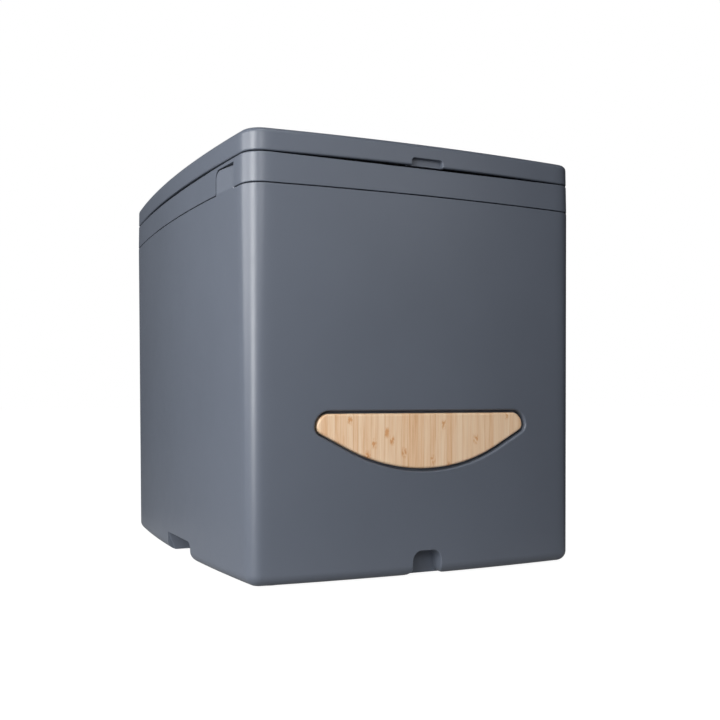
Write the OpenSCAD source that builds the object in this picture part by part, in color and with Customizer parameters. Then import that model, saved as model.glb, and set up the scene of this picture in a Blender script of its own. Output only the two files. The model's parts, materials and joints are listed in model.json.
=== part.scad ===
// Portable dry flush toilet: a crowned box body, a seat housing that swings up on rear hinges,
// a lid on the housing, and a bag-twisting mechanism inside. Millimetres, +Z up, front towards -Y.

/* [Overall] */
// Width of the body over its crowned sides
body_w = 384; // [370:1:400]
// Depth from the crowned front to the rear hinge barrels
body_d = 434; // [424:1:450]
// Height of the join between body and seat housing
seam_z = 360.7; // [350:0.1:380]
// Height of the seat housing between its two joins
housing_h = 28.5; // [26:0.5:34]
// Height of the lid's side from its lower edge to its rim
lid_h = 21.4; // [20:0.1:26]
// How far the lid's top rises above its rim
lid_dome = 1.9; // [1:0.1:6]

/* [Outline] */
// How far each side wall bulges out at its middle
side_crown = 10; // [4:0.5:14]
// How far the front wall bulges out at its middle
front_crown = 7.5; // [3:0.5:10]
// Radius of the four upright corners
corner_r = 20; // [16:1:30]
// Inward draft of the body, per unit of depth below the join
draft = 0.019; // [0:0.001:0.025]
// Radius round the bottom edge of the body
base_fillet = 10; // [6:1:12]
// Radius round the top edge of the lid
lid_fillet = 5; // [3:0.5:7]

/* [Walls] */
// Wall of the body shell
wall = 3.5; // [3:0.1:4]
// Wall of the seat housing and its top plate
housing_wall = 3; // [2.5:0.1:3.4]
// Wall of the lid
lid_wall = 3; // [2.5:0.1:3.4]
// Thickness of the base pan
pan_t = 4; // [3:0.5:5]

/* [Joins] */
// Open gap between body and seat housing
seam_gap = 0.8; // [0.6:0.1:1.2]
// Open gap between seat housing and lid at the corners
lid_gap = 1; // [0.8:0.1:1.6]
// How far the housing's rim dips at the middle of each side
rim_dip = 2; // [0:0.1:2.4]
// How far the hinge barrels stand behind the rear wall
hinge_stand = 4; // [3.8:0.1:5]

/* [Bamboo panel] */
// Half of the panel's width
panel_half_w = 113; // [100:1:118]
// Height of the panel's straight top edge above the floor
panel_top = 153.5; // [150:0.5:165]
// Height of the panel's lowest point above the floor
panel_bottom = 101.3; // [96:0.1:106]
// Radius of the panel's upper corners
panel_corner_r = 12; // [9:0.5:14]
// Radius of the panel's tight end curve
panel_end_r = 6.5; // [5:0.5:8]
// Slope of the straight stretch of the panel's lower edge
panel_slope = 27.5; // [26:0.5:29]
// Thickness of the panel
panel_t = 6.4; // [5:0.1:7]
// Depth of the recess behind the front face
recess_depth = 8; // [7.5:0.1:9]
// Open gap round the panel
panel_gap = 2.6; // [1.5:0.1:3.5]

/* [Base cut-outs] */
// Half width of the arch in the front
arch_half_w = 15; // [10:0.5:20]
// Height of the arch
arch_h = 24.5; // [20:0.5:28]
// Depth of the arch pocket
arch_depth = 22; // [16:1:26]
// Width of the hand hold in each side, along Y
hold_w = 80; // [60:1:96]
// Height of the hand hold
hold_h = 20.5; // [18:0.5:26]
// Depth of the hand hold
hold_depth = 32; // [20:1:36]
// Place of the hand hold's middle along Y
hold_y = -12; // [-30:1:20]

/* [Side grips] */
// Width of the grip tab in each side, along Y
grip_w = 39.5; // [30:0.5:50]
// Height of the grip tab above the join
grip_h = 23; // [20:0.5:24]
// Front end of the grip tab along Y
grip_y = -176.5; // [-180:0.5:-160]
// Depth of the finger ramp at its front end
grip_depth = 4.5; // [2:0.1:5]

/* [Lid details] */
// Half width of the lid's front finger notch
notch_half_w = 17; // [12:0.5:24]
// Height of the finger notch
notch_h = 7; // [5:0.5:9]
// Depth of the finger notch
notch_depth = 4.5; // [3:0.1:6]

/* [Bowl and bin] */
// Place of the bowl's axis along Y
bowl_y = -22; // [-26:1:-16]
// Half width of the seat opening
opening_x = 104; // [95:1:110]
// Half length of the seat opening
opening_y = 120; // [112:1:122]
// Half width of the seat ring
seat_x = 152; // [140:1:156]
// Half length of the seat ring
seat_y = 170; // [166:1:176]
// Height of the seat ring above the deck
seat_h = 17; // [12:0.5:17]
// Inner radius of the liner cassette
cassette_r = 126; // [124:1:130]
// Outer radius of the liner cassette
cassette_outer_r = 150; // [146:1:154]
// Height of the liner cassette
cassette_h = 28; // [22:1:30]
// Radius of the bin at its floor
bin_floor_r = 116; // [100:1:117]
// Radius of the bin at its rim
bin_rim_r = 144; // [130:1:148]
// Height of the bin
bin_h = 230; // [200:1:236]
// Wall of the bin
bin_wall = 2.5; // [2:0.1:3.5]

/* [Drive] */
// Module of the drive gears
gear_m = 3; // [3:0.5:3]
// Teeth on the ring gear
ring_teeth = 84; // [84:4:84]
// Teeth on the pinion
pinion_teeth = 12; // [12:1:12]
// Thickness of the ring gear
gear_t = 8; // [6:0.5:9]
// Radius of the spindle that carries the turntable
spindle_r = 8; // [6:0.5:10]
// Travel of the flush button
button_travel = 3; // [2:0.5:3.5]
// Radius of the flush button
button_r = 11; // [9:0.5:13]
// Width of the square fan
fan_w = 80; // [60:1:84]

/* [Fixings] */
// Radius of the floor fixing holes
fix_r = 3.25; // [2.5:0.05:4]
// Distance between the floor fixings across the body
fix_x = 220; // [190:1:226]
// Distance between the floor fixings along the body
fix_y = 270; // [250:1:280]
// Height that the rubber feet stand below the body
foot_stand = 1.5; // [1:0.1:3]
// Radius of the rubber feet
foot_r = 13; // [10:0.5:14]

/* [Hidden] */
$fn = 64;

GREY = [0.36, 0.39, 0.43];
DARK = [0.12, 0.12, 0.13];
RUBBER = [0.07, 0.07, 0.075];
BAMBOO = [0.85, 0.68, 0.46];
STEEL = [0.72, 0.73, 0.75];
NYLON = [0.9, 0.9, 0.88];
FILM = [0.78, 0.8, 0.83];
BOARD = [0.1, 0.35, 0.2];

rest = 0.3;                        // gap between pieces that only just touch
run = 0.06;                        // radial clearance of a turning fit
hold = 0.05;                       // radial clearance round a screw's thread
snug = 0.1;                        // radial clearance round a piece pushed into its hole
over = 5;                          // how far a cutter runs past what it cuts

// Outline of the body at the join
chord_x = body_w / 2 - side_crown;
front_y = -body_d / 2 + front_crown;
back_y = body_d / 2 - hinge_stand;
mid_y = (front_y + back_y) / 2;
core_x = chord_x - corner_r;
core_y = (back_y - front_y) / 2 - corner_r;
side_steps = 8;
corner_steps = 6;
lean = atan(draft);
edge_break = 0.8;

// Heights of the case
housing_z = seam_z + seam_gap / 2;
body_top = seam_z - seam_gap / 2;
rim_z = seam_z + housing_h - lid_gap / 2;
lid_z = rim_z + lid_gap;
lid_top = lid_z + lid_h;
lid_hinge_z = (rim_z + lid_z) / 2;
deck_sink = 4.6;                   // depth of the deck below the rim
deck_z = rim_z - deck_sink;
deck_low = deck_z - housing_wall;
tab_t = grip_depth + 1.5;          // thickness of the grip tab
rim_w = tab_t + 2;
flange_w = 54;                     // reach of the bottom flange, from the outline at the join
flange_top = foot_stand + wall;
pan_inset = flange_w - 12;
pan_top = flange_top + pan_t;
foot_inset = 34;
foot_stem_r = 4;
screw_r = 1.5;
clear_r = screw_r + 0.4;           // radius of a hole that a screw passes through
head_r = 3.2;
head_h = 1.6;

// Mechanism
track_in = 97;                     // inner radius of the track wall
track_w = 8;
track_top = 38;
glide_t = 3;
table_z = track_top + glide_t + rest;
table_t = 4;
table_r = bin_floor_r + 6;
bin_z = table_z + table_t;
bin_top = bin_z + bin_h;
bin_foot = 6;
bin_foot_r = bin_floor_r - 4;
tab_count = 3;
tab_w = 10;
tab_h = 4;
tab_reach = 9;
gear_z = table_z - gear_t;
pitch_r = gear_m * ring_teeth / 2;
pinion_r = gear_m * pinion_teeth / 2;
gear_bore_r = track_in + track_w + 7;
backlash = 0.2;
pinion_y = bowl_y + pitch_r + pinion_r;
shaft_r = 4;
shaft_top = gear_z + gear_t + 3;
gearbox_x = 50;
gearbox_y = 46;
gearbox_z = pan_top + 2;
gearbox_top = gear_z - 4;
gearbox_sink = 6;                  // height of the screw heads' seats in the gearbox
motor_r = 10.5;
motor_len = 60;
bush_wall = 4;
hub_z = pan_top + 20;
spindle_flange = 3;
spigot_r = spindle_r - 3;           // reduced end of the spindle, held in the post
spigot_len = 10;
spindle_base = hub_z - 2 - spindle_flange;
clip_t = 1;
clip_z = bin_z + 1;

// Liner and chute
film_t = 1.2;
film_gap = 0.4;
cassette_top = deck_low - rest;
cassette_z = cassette_top - cassette_h;
cassette_wall = 2.5;
chute_flange_t = 3;
chute_flange_z = cassette_z - rest - chute_flange_t;
chute_flange_r = cassette_outer_r + 4;
chute_top_r = cassette_r - 5;
chute_low_r = 66;
chute_wall = 2;
chute_z = bin_top + 8;
hook_wall = 5;
hook_gap = 1;
hook_count = 4;
hook_angle = 12;
chute_turn = 25;

// Hinges
barrel_r = hinge_stand - 0.4;
hinge_y = back_y + hinge_stand - barrel_r;
hinge_pin_r = 1.6;
leaf_t = 1.5;
leaf_w = 48;
leaf_h = 14;
leaf_y = back_y + 0.1;
knuckle_gap = 0.4;
housing_hinge_x = core_x - 32;
lid_hinge_x = 62;
hinge_screw_x = 15;
hinge_screw_z = 13;

// Rear compartment
fan_z = 296;
fan_t = 20;
fan_hole_r = fan_w / 2 - 3;
fan_pitch = fan_w / 2 - 4;
filter_t = 12;
box_w = 110;
box_x = core_x - box_w / 2 - 7;
box_z = 165;
box_h = 78;
box_d = 30;
box_wall = 2;
inlet_x = 70;
inlet_z = 90;
inlet_r = 8;
battery_w = 110;
battery_d = 46;
battery_h = 60;
battery_x = battery_w / 2 + 12 - core_x;
battery_y = back_y - battery_d / 2 - 40;
strap_t = 1.5;
strap_w = 20;
contact_x = core_x - 72;
contact_y = back_y - 17;
contact_w = 24;
contact_d = 16;
contact_z = 338;
pin_top = 374;
magnet_x = core_x - 42;
magnet_y = front_y + 22;
magnet_z = 342;
magnet_r = 8;
magnet_t = 4;

// Flush button
button_x = core_x - 32;
button_y = back_y - 41;
bezel_t = 2;
bezel_r = button_r + 4;
button_stand = button_travel + 1.5;
button_top = deck_z + bezel_t + button_stand;
stem_r = 3;
cup_depth = 16;                    // depth of the bezel's cup below the deck
button_t = 6;

// Lid
lid_panel_t = 2.5;
lid_panel_z = lid_top - lid_wall - lid_panel_t;
lid_panel_inset = 9;
lid_seal_inset = 12;
lid_seal_w = 3;
bumper_r = 6;

// Points on an arc
function arc(c, r, a0, a1, n) = [for (i = [0:n])
    let (a = a0 + (a1 - a0) * i / n) c + r * [cos(a), sin(a)]];
function unit(v) = v / norm(v);
function angle_of(v) = atan2(v[1], v[0]);

// Sides of the outline: 0 front, 1 right, 2 back, 3 left, with s from -1 to 1 along each.
// A deep inset shrinks the core by e, so that its corners keep a radius.
least_r = 3;
function side_point(k, s, e) =
    let (x = core_x - e, y = core_y - e, bulge = 1 - s * s)
    k == 0 ? [s * x, -y - front_crown * bulge] :
    k == 1 ? [x + side_crown * bulge, s * y] :
    k == 2 ? [-s * x, y] :
             [-x - side_crown * bulge, -s * y];
function side_normal(k, s, e) = unit(
    k == 0 ? [2 * front_crown * s, e - core_x] :
    k == 1 ? [core_y - e, 2 * side_crown * s] :
    k == 2 ? [0, 1] :
             [e - core_y, -2 * side_crown * s]);
function corner_turn(k, e) =
    (angle_of(side_normal((k + 1) % 4, -1, e)) - angle_of(side_normal(k, 1, e)) + 720) % 360;
function side_row(k, e, r) = [for (i = [0:side_steps])
    let (s = -1 + 2 * i / side_steps) side_point(k, s, e) + r * side_normal(k, s, e)];
function corner_row(k, e, r) = [for (j = [1:corner_steps - 1])
    let (a = angle_of(side_normal(k, 1, e)) + corner_turn(k, e) * j / corner_steps)
    side_point(k, 1, e) + r * [cos(a), sin(a)]];
// The outline grown by off, scaled by k about its middle
function outline(off, k = 1) =
    let (e = max(0, least_r - corner_r - off), r = corner_r + off + e)
    [for (side = [0:3], p = concat(side_row(side, e, r), corner_row(side, e, r)))
        [p[0] * k, mid_y + p[1] * k]];
// 1 at mid side, falling to 0 at the corners
SAG = [for (side = [0:3], i = [0:side_steps + corner_steps - 1])
    i > side_steps ? 0 : 1 - pow(2 * i / side_steps - 1, 2)];
// One level of a loft: height, offset, dip at mid side, scale
function level(v) =
    let (dip = len(v) > 2 ? v[2] : 0, k = len(v) > 3 ? v[3] : 1, flat = outline(v[1], k))
    [for (i = [0:len(flat) - 1]) [flat[i][0], flat[i][1], v[0] - dip * SAG[i]]];

// Closed skin over rows of points, all of the same length
module skin(rows) {
    n = len(rows[0]);
    m = len(rows);
    walls = [for (r = [0:m - 2], i = [0:n - 1])
        let (a = r * n + i, b = r * n + (i + 1) % n)
        each [[a, b + n, b], [a, a + n, b + n]]];
    floor_face = [for (i = [0:n - 1]) i];
    roof_face = [for (i = [n - 1:-1:0]) (m - 1) * n + i];
    polyhedron([for (row = rows) each row], concat([floor_face], walls, [roof_face]), convexity = 6);
}
module loft(levels) skin([for (v = levels) level(v)]);
module plate(z, off, h) translate([0, 0, z]) linear_extrude(h) polygon(outline(off));
module plate_ring(z, off_out, off_in, h) difference() {
    plate(z, off_out, h);
    plate(z - 1, off_in, h + 2);
}

// Offset of the body's wall from the outline at the join
function body_off(z) = -draft * (seam_z - z);
function front_face(x, z) = front_y - front_crown * (1 - pow(x / core_x, 2)) - body_off(z);
function side_face(y) = chord_x + side_crown * (1 - pow((y - mid_y) / core_y, 2));
function rear_in(z) = back_y + body_off(z) - wall;

// Frames on the walls: on the front with Z outwards or inwards, inside the rear wall with Z inwards
module front_out(x, z, depth)
    translate([x, front_face(x, z) + depth, z]) rotate([90 + lean, 0, 0]) children();
module front_in(x, z, depth)
    translate([x, front_face(x, z) + depth, z]) rotate([lean - 90, 0, 0]) children();
module rear_frame(x, z) translate([x, rear_in(z), z]) rotate([90 - lean, 0, 0]) children();
module at_bowl(z) translate([0, bowl_y, z]) children();
module both_sides() {
    children();
    mirror([1, 0, 0]) children();
}
module along_x(x0, length) translate([x0, 0, 0]) rotate([90, 0, 90]) linear_extrude(length) children();
// Block centred on the frame's axis from height z
module centred(w, h, z, d) translate([-w / 2, -h / 2, z]) cube([w, h, d]);
module tube(r_out, r_in, h) difference() {
    cylinder(r = r_out, h = h);
    translate([0, 0, -1]) cylinder(r = r_in, h = h + 2);
}
// Screw with its head's seat at z 0, pointing down
module screw(length) {
    translate([0, 0, -length]) cylinder(r = screw_r, h = length, $fn = 24);
    difference() {
        cylinder(r = head_r, h = head_h, $fn = 24);
        translate([0, 0, head_h / 2]) cylinder(r = head_r * 0.45, h = head_h, $fn = 6);
    }
}
module screw_hole(up, down, r = screw_r + hold)
    translate([0, 0, -down]) cylinder(r = r, h = up + down, $fn = 24);

// Places of the fasteners
pan_fix_in = flange_w - 6;
pan_fix_y = [bowl_y - 98, bowl_y + 82];
pan_fix_front_x = 80;
pan_fix_rear_x = 30;
PAN_FIX = concat([for (s = [-1, 1], y = pan_fix_y) [s * (side_face(y) - pan_fix_in), y]],
                 [for (s = [-1, 1])
                     [s * pan_fix_front_x, front_face(pan_fix_front_x, seam_z) + pan_fix_in]],
                 [for (s = [-1, 1]) [s * pan_fix_rear_x, back_y - pan_fix_in]]);
FEET = [for (s = [-1, 1], y = [front_y + foot_inset, back_y - foot_inset]) [s * (chord_x - foot_inset), y]];
FLOOR_FIX = [for (sx = [-1, 1], sy = [-1, 1]) [sx * fix_x / 2, sy * fix_y / 2]];
panel_fix_x = 70;
PANEL_FIX = [-panel_fix_x, panel_fix_x];
GEARBOX_FIX = [for (sx = [-1, 1], sy = [-1, 1])
    [sx * (gearbox_x / 2 - 5), pinion_y + sy * (gearbox_y / 2 - 5)]];
FAN_FIX = [for (sx = [-1, 1], sy = [-1, 1]) [sx * fan_pitch, sy * fan_pitch]];
HOUSING_HINGES = [-housing_hinge_x, housing_hinge_x];
LID_HINGES = [-lid_hinge_x, lid_hinge_x];
seat_fix_x = 35;
SEAT_FIX = [for (sx = [-1, 1], sy = [-1, 1]) [sx * seat_fix_x, bowl_y + sy * (cassette_outer_r + 6)]];
lid_fix_x = core_x - 32;
lid_fix_y = [front_y + 49.5, back_y - 53];
LID_FIX = [for (sx = [-1, 0, 1], y = lid_fix_y) [sx * lid_fix_x, y]];
bumper_angle = 50;
BUMPERS = [for (sx = [-1, 1], sy = [-1, 1])
    [sx * (seat_x - 24) * cos(bumper_angle), bowl_y + sy * (seat_y - 25) * sin(bumper_angle)]];

// Smile outline about the panel's middle, grown by e
function smile(e) =
    let (top = (panel_top - panel_bottom) / 2,
         end = [panel_half_w - panel_end_r, top - panel_corner_r],
         corner = [panel_half_w - panel_corner_r, top - panel_corner_r],
         s = sin(panel_slope), c = cos(panel_slope),
         low_r = (end[0] * s - end[1] * c + panel_end_r - top * c) / (1 - c))
    concat(arc([0, low_r - top], low_r + e, 270 - panel_slope, 270 + panel_slope, 16),
           arc(end, panel_end_r + e, 270 + panel_slope, 360, 5),
           arc(corner, panel_corner_r + e, 0, 90, 6),
           arc([-corner[0], corner[1]], panel_corner_r + e, 90, 180, 6),
           arc([-end[0], end[1]], panel_end_r + e, 180, 270 - panel_slope, 5));
panel_mid = (panel_top + panel_bottom) / 2;
module smile_block(e) front_out(0, panel_mid, 40) linear_extrude(60) polygon(smile(e));
module panel_loft(off) loft([for (z = [panel_bottom - 20, panel_top + 20]) [z, body_off(z) - off]]);

// Cut-outs low in the walls
module arch_profile(e) {
    w = arch_half_w + e;
    h = arch_h + e;
    r = 9;
    polygon(concat([[-w, -over]], arc([r - w, h - r], r, 180, 90, 5),
                   arc([w - r, h - r], r, 90, 0, 5), [[w, -over]]));
}
module arch_flare_profile() {
    w = arch_half_w;
    r = 7;
    polygon(concat([[-w - r, -over]], arc([-w - r, foot_stand + r], r, -90, 0, 5),
                   arc([w + r, foot_stand + r], r, 180, 270, 5), [[w + r, -over]]));
}
module arch_block(e, back) translate([0, front_face(0, seam_z) + arch_depth + back, 0]) rotate([90, 0, 0])
    linear_extrude(arch_depth + 30) children();
// Side hand hold in y and z: a round corner at the front, a sharp one at the rear
module hold_profile(e) {
    y0 = hold_y - hold_w / 2 - e;
    y1 = hold_y + hold_w / 2 + e;
    r = 8;
    polygon(concat([[y0, -over]], arc([y0 + r, hold_h + e - r], r, 180, 90, 5),
                   [[y1, hold_h + e], [y1, -over]]));
}
module hold_flare_profile() {
    y0 = hold_y - hold_w / 2;
    r = 12;
    polygon(concat([[y0 - r, -over]], arc([y0 - r, foot_stand + r], r, -90, 0, 5),
                   [[y0 + 1, foot_stand + r], [y0 + 1, -over]]));
}
module hold_block(back)
    along_x(body_w / 2 - hold_depth - back, hold_depth + back + over) children();

// Grip tab that stands up from the body into a notch in the housing
module grip_profile(z0, e) {
    y0 = grip_y - e;
    y1 = grip_y + grip_w + e;
    top = seam_z + grip_h + e;
    r = 8;
    polygon(concat([[y0, z0], [y1, z0]], arc([y1 - r, top - r], r, 0, 90, 5), [[y0, top]]));
}
module grip_ramp() {
    y0 = grip_y - 3;
    y1 = grip_y + grip_w - 2;
    x1 = body_w / 2 + over;
    translate([0, 0, seam_z + 0.5]) linear_extrude(grip_h + 2)
        polygon([[side_face(y0) - grip_depth, y0], [side_face(grip_y) - grip_depth, grip_y],
                 [side_face(y1), y1], [x1, y1], [x1, y0]]);
}
module grip_tab() difference() {
    intersection() {
        loft([[seam_z - 12, -1.5], [seam_z - 1.2, -1.5], [seam_z - 0.4, 0], [seam_z + grip_h + 4, 0]]);
        along_x(0, body_w) grip_profile(seam_z - 11, 0);
    }
    loft([[seam_z - 13, -tab_t], [seam_z + grip_h + 5, -tab_t]]);
    grip_ramp();
}
grip_gap = 1;

// Relief for one hinge barrel in a rear wall
relief_gap = 0.6;
relief_half = leaf_w / 2 + 1.6;
module barrel_relief(x, z)
    translate([x - relief_half, hinge_y - barrel_r - relief_gap, z - barrel_r - relief_gap])
        cube([2 * relief_half, hinge_stand + wall + 10, 2 * (barrel_r + relief_gap)]);
// Screw places of a hinge leaf, dir 1 above the axis and -1 below
module leaf_fix(places, z, dir) for (x = places, s = [-1, 1])
    translate([x + s * hinge_screw_x, leaf_y + leaf_t, z + dir * hinge_screw_z])
        rotate([-90, 0, 0]) children();

module body_outer() loft(concat(
    [for (a = [0:22.5:90]) let (z = foot_stand + base_fillet * (1 - cos(a)))
        [z, body_off(z) - base_fillet * (1 - sin(a))]],
    [[body_top - edge_break, body_off(body_top - edge_break)], [body_top, -edge_break]]));
module body_inner() loft([
    [-1, -flange_w], [flange_top - 0.01, -flange_w],
    [flange_top, body_off(flange_top) - wall - 6],
    [flange_top + 6, body_off(flange_top + 6) - wall], [body_top + 1, -wall]]);
// What stands inward from the body's wall
module body_inside() {
    difference() {
        smile_block(panel_gap + wall);
        panel_loft(recess_depth + wall);
    }
    both_sides() hold_block(wall) hold_profile(wall);
    arch_block(wall, wall) arch_profile(wall);
    both_sides() translate([magnet_x - 12, front_y - 10, magnet_z - 10]) cube([24, 10 + 34, magnet_t + 10]);
    for (x = HOUSING_HINGES) translate([x - leaf_w / 2, rear_in(seam_z) - 3, seam_z - hinge_screw_z - 5])
        cube([leaf_w, 10, 10]);
}
module body_cuts() {
    both_sides() hold_block(0) hold_profile(0);
    both_sides() hold_block(0) hold_flare_profile();
    arch_block(0, 0) arch_profile(0);
    arch_block(0, 0) arch_flare_profile();
    for (x = HOUSING_HINGES) barrel_relief(x, seam_z);
    leaf_fix(HOUSING_HINGES, seam_z, -1) screw_hole(1, 9);
    rear_frame(0, fan_z) {
        translate([0, 0, -wall - over]) cylinder(r = fan_hole_r, h = wall + 2 * over);
        for (p = FAN_FIX) translate([p[0], p[1], 0]) screw_hole(over, wall - 0.5);
    }
    rear_frame(inlet_x, inlet_z) translate([0, 0, -wall - over])
        cylinder(r = inlet_r + snug, h = wall + 2 * over);
    for (p = FEET) translate([p[0], p[1], 0]) cylinder(r = foot_stem_r + snug, h = flange_top + 1);
    for (p = PAN_FIX) translate([p[0], p[1], flange_top]) screw_hole(1, wall + 1);
    for (x = PANEL_FIX) front_in(x, panel_mid, recess_depth + wall) screw_hole(2, wall + 3, clear_r);
    both_sides() translate([magnet_x, magnet_y, magnet_z]) cylinder(r = magnet_r + snug, h = magnet_t + 1);
}
module body_shell() color(GREY) difference() {
    union() {
        difference() {
            body_outer();
            difference() {
                body_inner();
                body_inside();
            }
            difference() {
                smile_block(panel_gap);
                panel_loft(recess_depth);
            }
        }
        both_sides() grip_tab();
    }
    body_cuts();
}
module bamboo_panel() color(BAMBOO) difference() {
    intersection() {
        smile_block(0);
        panel_loft(recess_depth - panel_t);
    }
    panel_loft(recess_depth - 0.2);
    for (x = PANEL_FIX) front_in(x, panel_mid, recess_depth) screw_hole(1, panel_t - 2);
}
module panel_screws() color(STEEL) for (x = PANEL_FIX)
    front_in(x, panel_mid, recess_depth) translate([0, 0, wall + rest]) screw(wall + panel_t - 2.5);

// Base pan with the track, the spindle's post and the floor fixings
post_r = 18;
module base_pan() color(DARK) difference() {
    union() {
        plate(flange_top, -pan_inset, pan_t);
        at_bowl(flange_top) tube(track_in + track_w, track_in, track_top - flange_top);
        at_bowl(flange_top) cylinder(r = post_r, h = spindle_base - flange_top);
        for (a = [0:60:300]) at_bowl(flange_top) rotate(a) translate([post_r - 2, -1.5, 0])
            cube([track_in - post_r + 4, 3, 10]);
        for (p = FLOOR_FIX) translate([p[0], p[1], foot_stand])
            cylinder(r = fix_r + 7, h = pan_top - foot_stand);
        for (p = GEARBOX_FIX) translate([p[0], p[1], flange_top])
            cylinder(r = 4.5, h = gearbox_z - flange_top);
    }
    both_sides() hold_block(wall + 1) hold_profile(wall + 1);
    for (p = FLOOR_FIX) translate([p[0], p[1], 0]) cylinder(r = fix_r, h = pan_top + over);
    for (p = PAN_FIX) translate([p[0], p[1], pan_top]) screw_hole(1, pan_t + 1, clear_r);
    for (p = GEARBOX_FIX) translate([p[0], p[1], gearbox_z]) screw_hole(1, 5);
    at_bowl(spindle_base - spigot_len - 2) cylinder(r = spigot_r + hold, h = spigot_len + 10);
}
module rubber_feet() color(RUBBER) for (p = FEET) translate([p[0], p[1], 0]) {
    cylinder(r = foot_r, h = foot_stand);
    cylinder(r = foot_stem_r, h = flange_top + 0.5);
    translate([0, 0, flange_top + 0.2]) cylinder(r = foot_stem_r + 1.5, h = 1.5);
}
module pan_screws() color(STEEL) for (p = PAN_FIX)
    translate([p[0], p[1], pan_top]) screw(pan_t + wall - 0.5);

module spindle() color(STEEL) at_bowl(spindle_base) difference() {
    union() {
        translate([0, 0, -spigot_len]) cylinder(r = spigot_r, h = spigot_len + 2);
        cylinder(r = post_r, h = spindle_flange);
        cylinder(r = spindle_r, h = clip_z + 3 - spindle_base);
    }
    translate([0, 0, clip_z - 0.1 - spindle_base]) tube(spindle_r + 1, spindle_r - 1, clip_t + 0.2);
}
module spindle_clip() color(STEEL) at_bowl(clip_z) difference() {
    tube(spindle_r + 3, spindle_r - 1 + run, clip_t);
    translate([-spindle_r * 0.7, 0, -1]) cube([spindle_r * 1.4, 2 * spindle_r, clip_t + 2]);
}
module glide_ring() color(NYLON) at_bowl(track_top) tube(track_in + track_w - 0.5, track_in + 0.5, glide_t);

module gearbox() color(DARK) difference() {
    translate([-gearbox_x / 2, pinion_y - gearbox_y / 2, gearbox_z])
        cube([gearbox_x, gearbox_y, gearbox_top - gearbox_z]);
    translate([0, pinion_y, gearbox_z + 3]) cylinder(r = shaft_r + run, h = gearbox_top);
    for (p = GEARBOX_FIX) translate([p[0], p[1], gearbox_z]) {
        screw_hole(gearbox_sink + 1, 1, clear_r);
        translate([0, 0, gearbox_sink]) cylinder(r = head_r + 1, h = gearbox_top);
    }
}
gearbox_mid = (gearbox_z + gearbox_top) / 2;
module drive_motor() color(STEEL) translate([gearbox_x / 2, pinion_y, gearbox_mid]) rotate([0, 90, 0]) {
    cylinder(r = motor_r * 0.8, h = 4);
    translate([0, 0, 4]) cylinder(r = motor_r, h = motor_len - 8);
    translate([0, 0, motor_len - 4]) cylinder(r = motor_r * 0.45, h = 4);
}
module gearbox_screws() color(STEEL) for (p = GEARBOX_FIX)
    translate([p[0], p[1], gearbox_z + gearbox_sink]) screw(gearbox_sink + 4);

module battery_pack() color(DARK) translate([battery_x, battery_y, pan_top + rest]) difference() {
    centred(battery_w, battery_d, 0, battery_h);
    for (z = [20, 40]) translate([-battery_w, -battery_d / 2 - 1, z]) cube([2 * battery_w, 2, 2]);
}
module battery_strap() color(DARK) translate([battery_x - strap_w / 2, battery_y, pan_top]) {
    d = battery_d / 2 + rest;
    h = battery_h + 2 * rest;
    difference() {
        translate([0, -d - strap_t, 0]) cube([strap_w, 2 * (d + strap_t), h + strap_t]);
        translate([-1, -d, -1]) cube([strap_w + 2, 2 * d, h + 1]);
    }
}

board_z = 8;
board_t = 1.6;
module control_box() color(DARK) rear_frame(box_x, box_z) difference() {
    centred(box_w, box_h, snug, box_d);
    difference() {
        centred(box_w - 2 * box_wall, box_h - 2 * box_wall, box_wall, box_d);
        for (sx = [-1, 1], sy = [-1, 1]) translate([sx * (box_w / 2 - 8), sy * (box_h / 2 - 8), 0])
            cylinder(r = 3.5, h = board_z);
    }
}
module circuit_board() color(BOARD) rear_frame(box_x, box_z) {
    centred(box_w - 2 * box_wall - 2, box_h - 2 * box_wall - 2, board_z, board_t);
    for (p = [[-30, 10, 22], [0, -12, 16], [28, 12, 24]]) translate([p[0], p[1], 0])
        centred(p[2], 14, board_z, board_t + p[2] / 3);
}
module control_cover() color(DARK) rear_frame(box_x, box_z)
    centred(box_w, box_h, box_d + snug, box_wall);

module fan_frame() color(DARK) rear_frame(0, fan_z) difference() {
    union() {
        difference() {
            centred(fan_w, fan_w, snug, fan_t);
            cylinder(r = fan_hole_r, h = fan_t + 1);
        }
        translate([0, 0, 1]) cylinder(r = 13, h = 4);
        for (a = [0, 120, 240]) rotate(a) translate([-1.5, 0, 1]) cube([3, fan_hole_r + 1, 3]);
    }
    cylinder(r = 2 + run, h = fan_t);
    for (p = FAN_FIX) translate([p[0], p[1], 0]) screw_hole(fan_t + 1, 1, clear_r);
}
blade_count = 7;
blade_pitch = 38;
rotor_z = 5.5;
rotor_h = fan_t - 7;
module fan_rotor() color(DARK) rear_frame(0, fan_z) {
    translate([0, 0, 2]) cylinder(r = 2, h = 6);
    translate([0, 0, rotor_z]) cylinder(r = 12.5, h = rotor_h);
    intersection() {
        translate([0, 0, rotor_z]) cylinder(r = fan_hole_r - 1.5, h = rotor_h);
        for (k = [0:blade_count - 1]) rotate(360 * k / blade_count)
            translate([10, 0, rotor_z + rotor_h / 2]) rotate([blade_pitch, 0, 0])
                translate([0, -13, -0.8]) cube([fan_hole_r, 26, 1.6]);
    }
}
module carbon_filter() color(RUBBER) rear_frame(0, fan_z) translate([0, 0, fan_t + rest]) difference() {
    centred(fan_w, fan_w, 0, filter_t);
    for (x = [-1.5:1.5], y = [-1.5:1.5]) translate([x * 15, y * 15, 0]) centred(12, 12, 2, filter_t);
    for (p = FAN_FIX) translate([p[0], p[1], 0]) screw_hole(filter_t + 1, 1, clear_r);
}
module fan_screws() color(STEEL) rear_frame(0, fan_z) for (p = FAN_FIX)
    translate([p[0], p[1], fan_t + filter_t + 2 * rest]) screw(fan_t + filter_t + wall - 1);
grille_r = fan_hole_r + 7;
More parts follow.
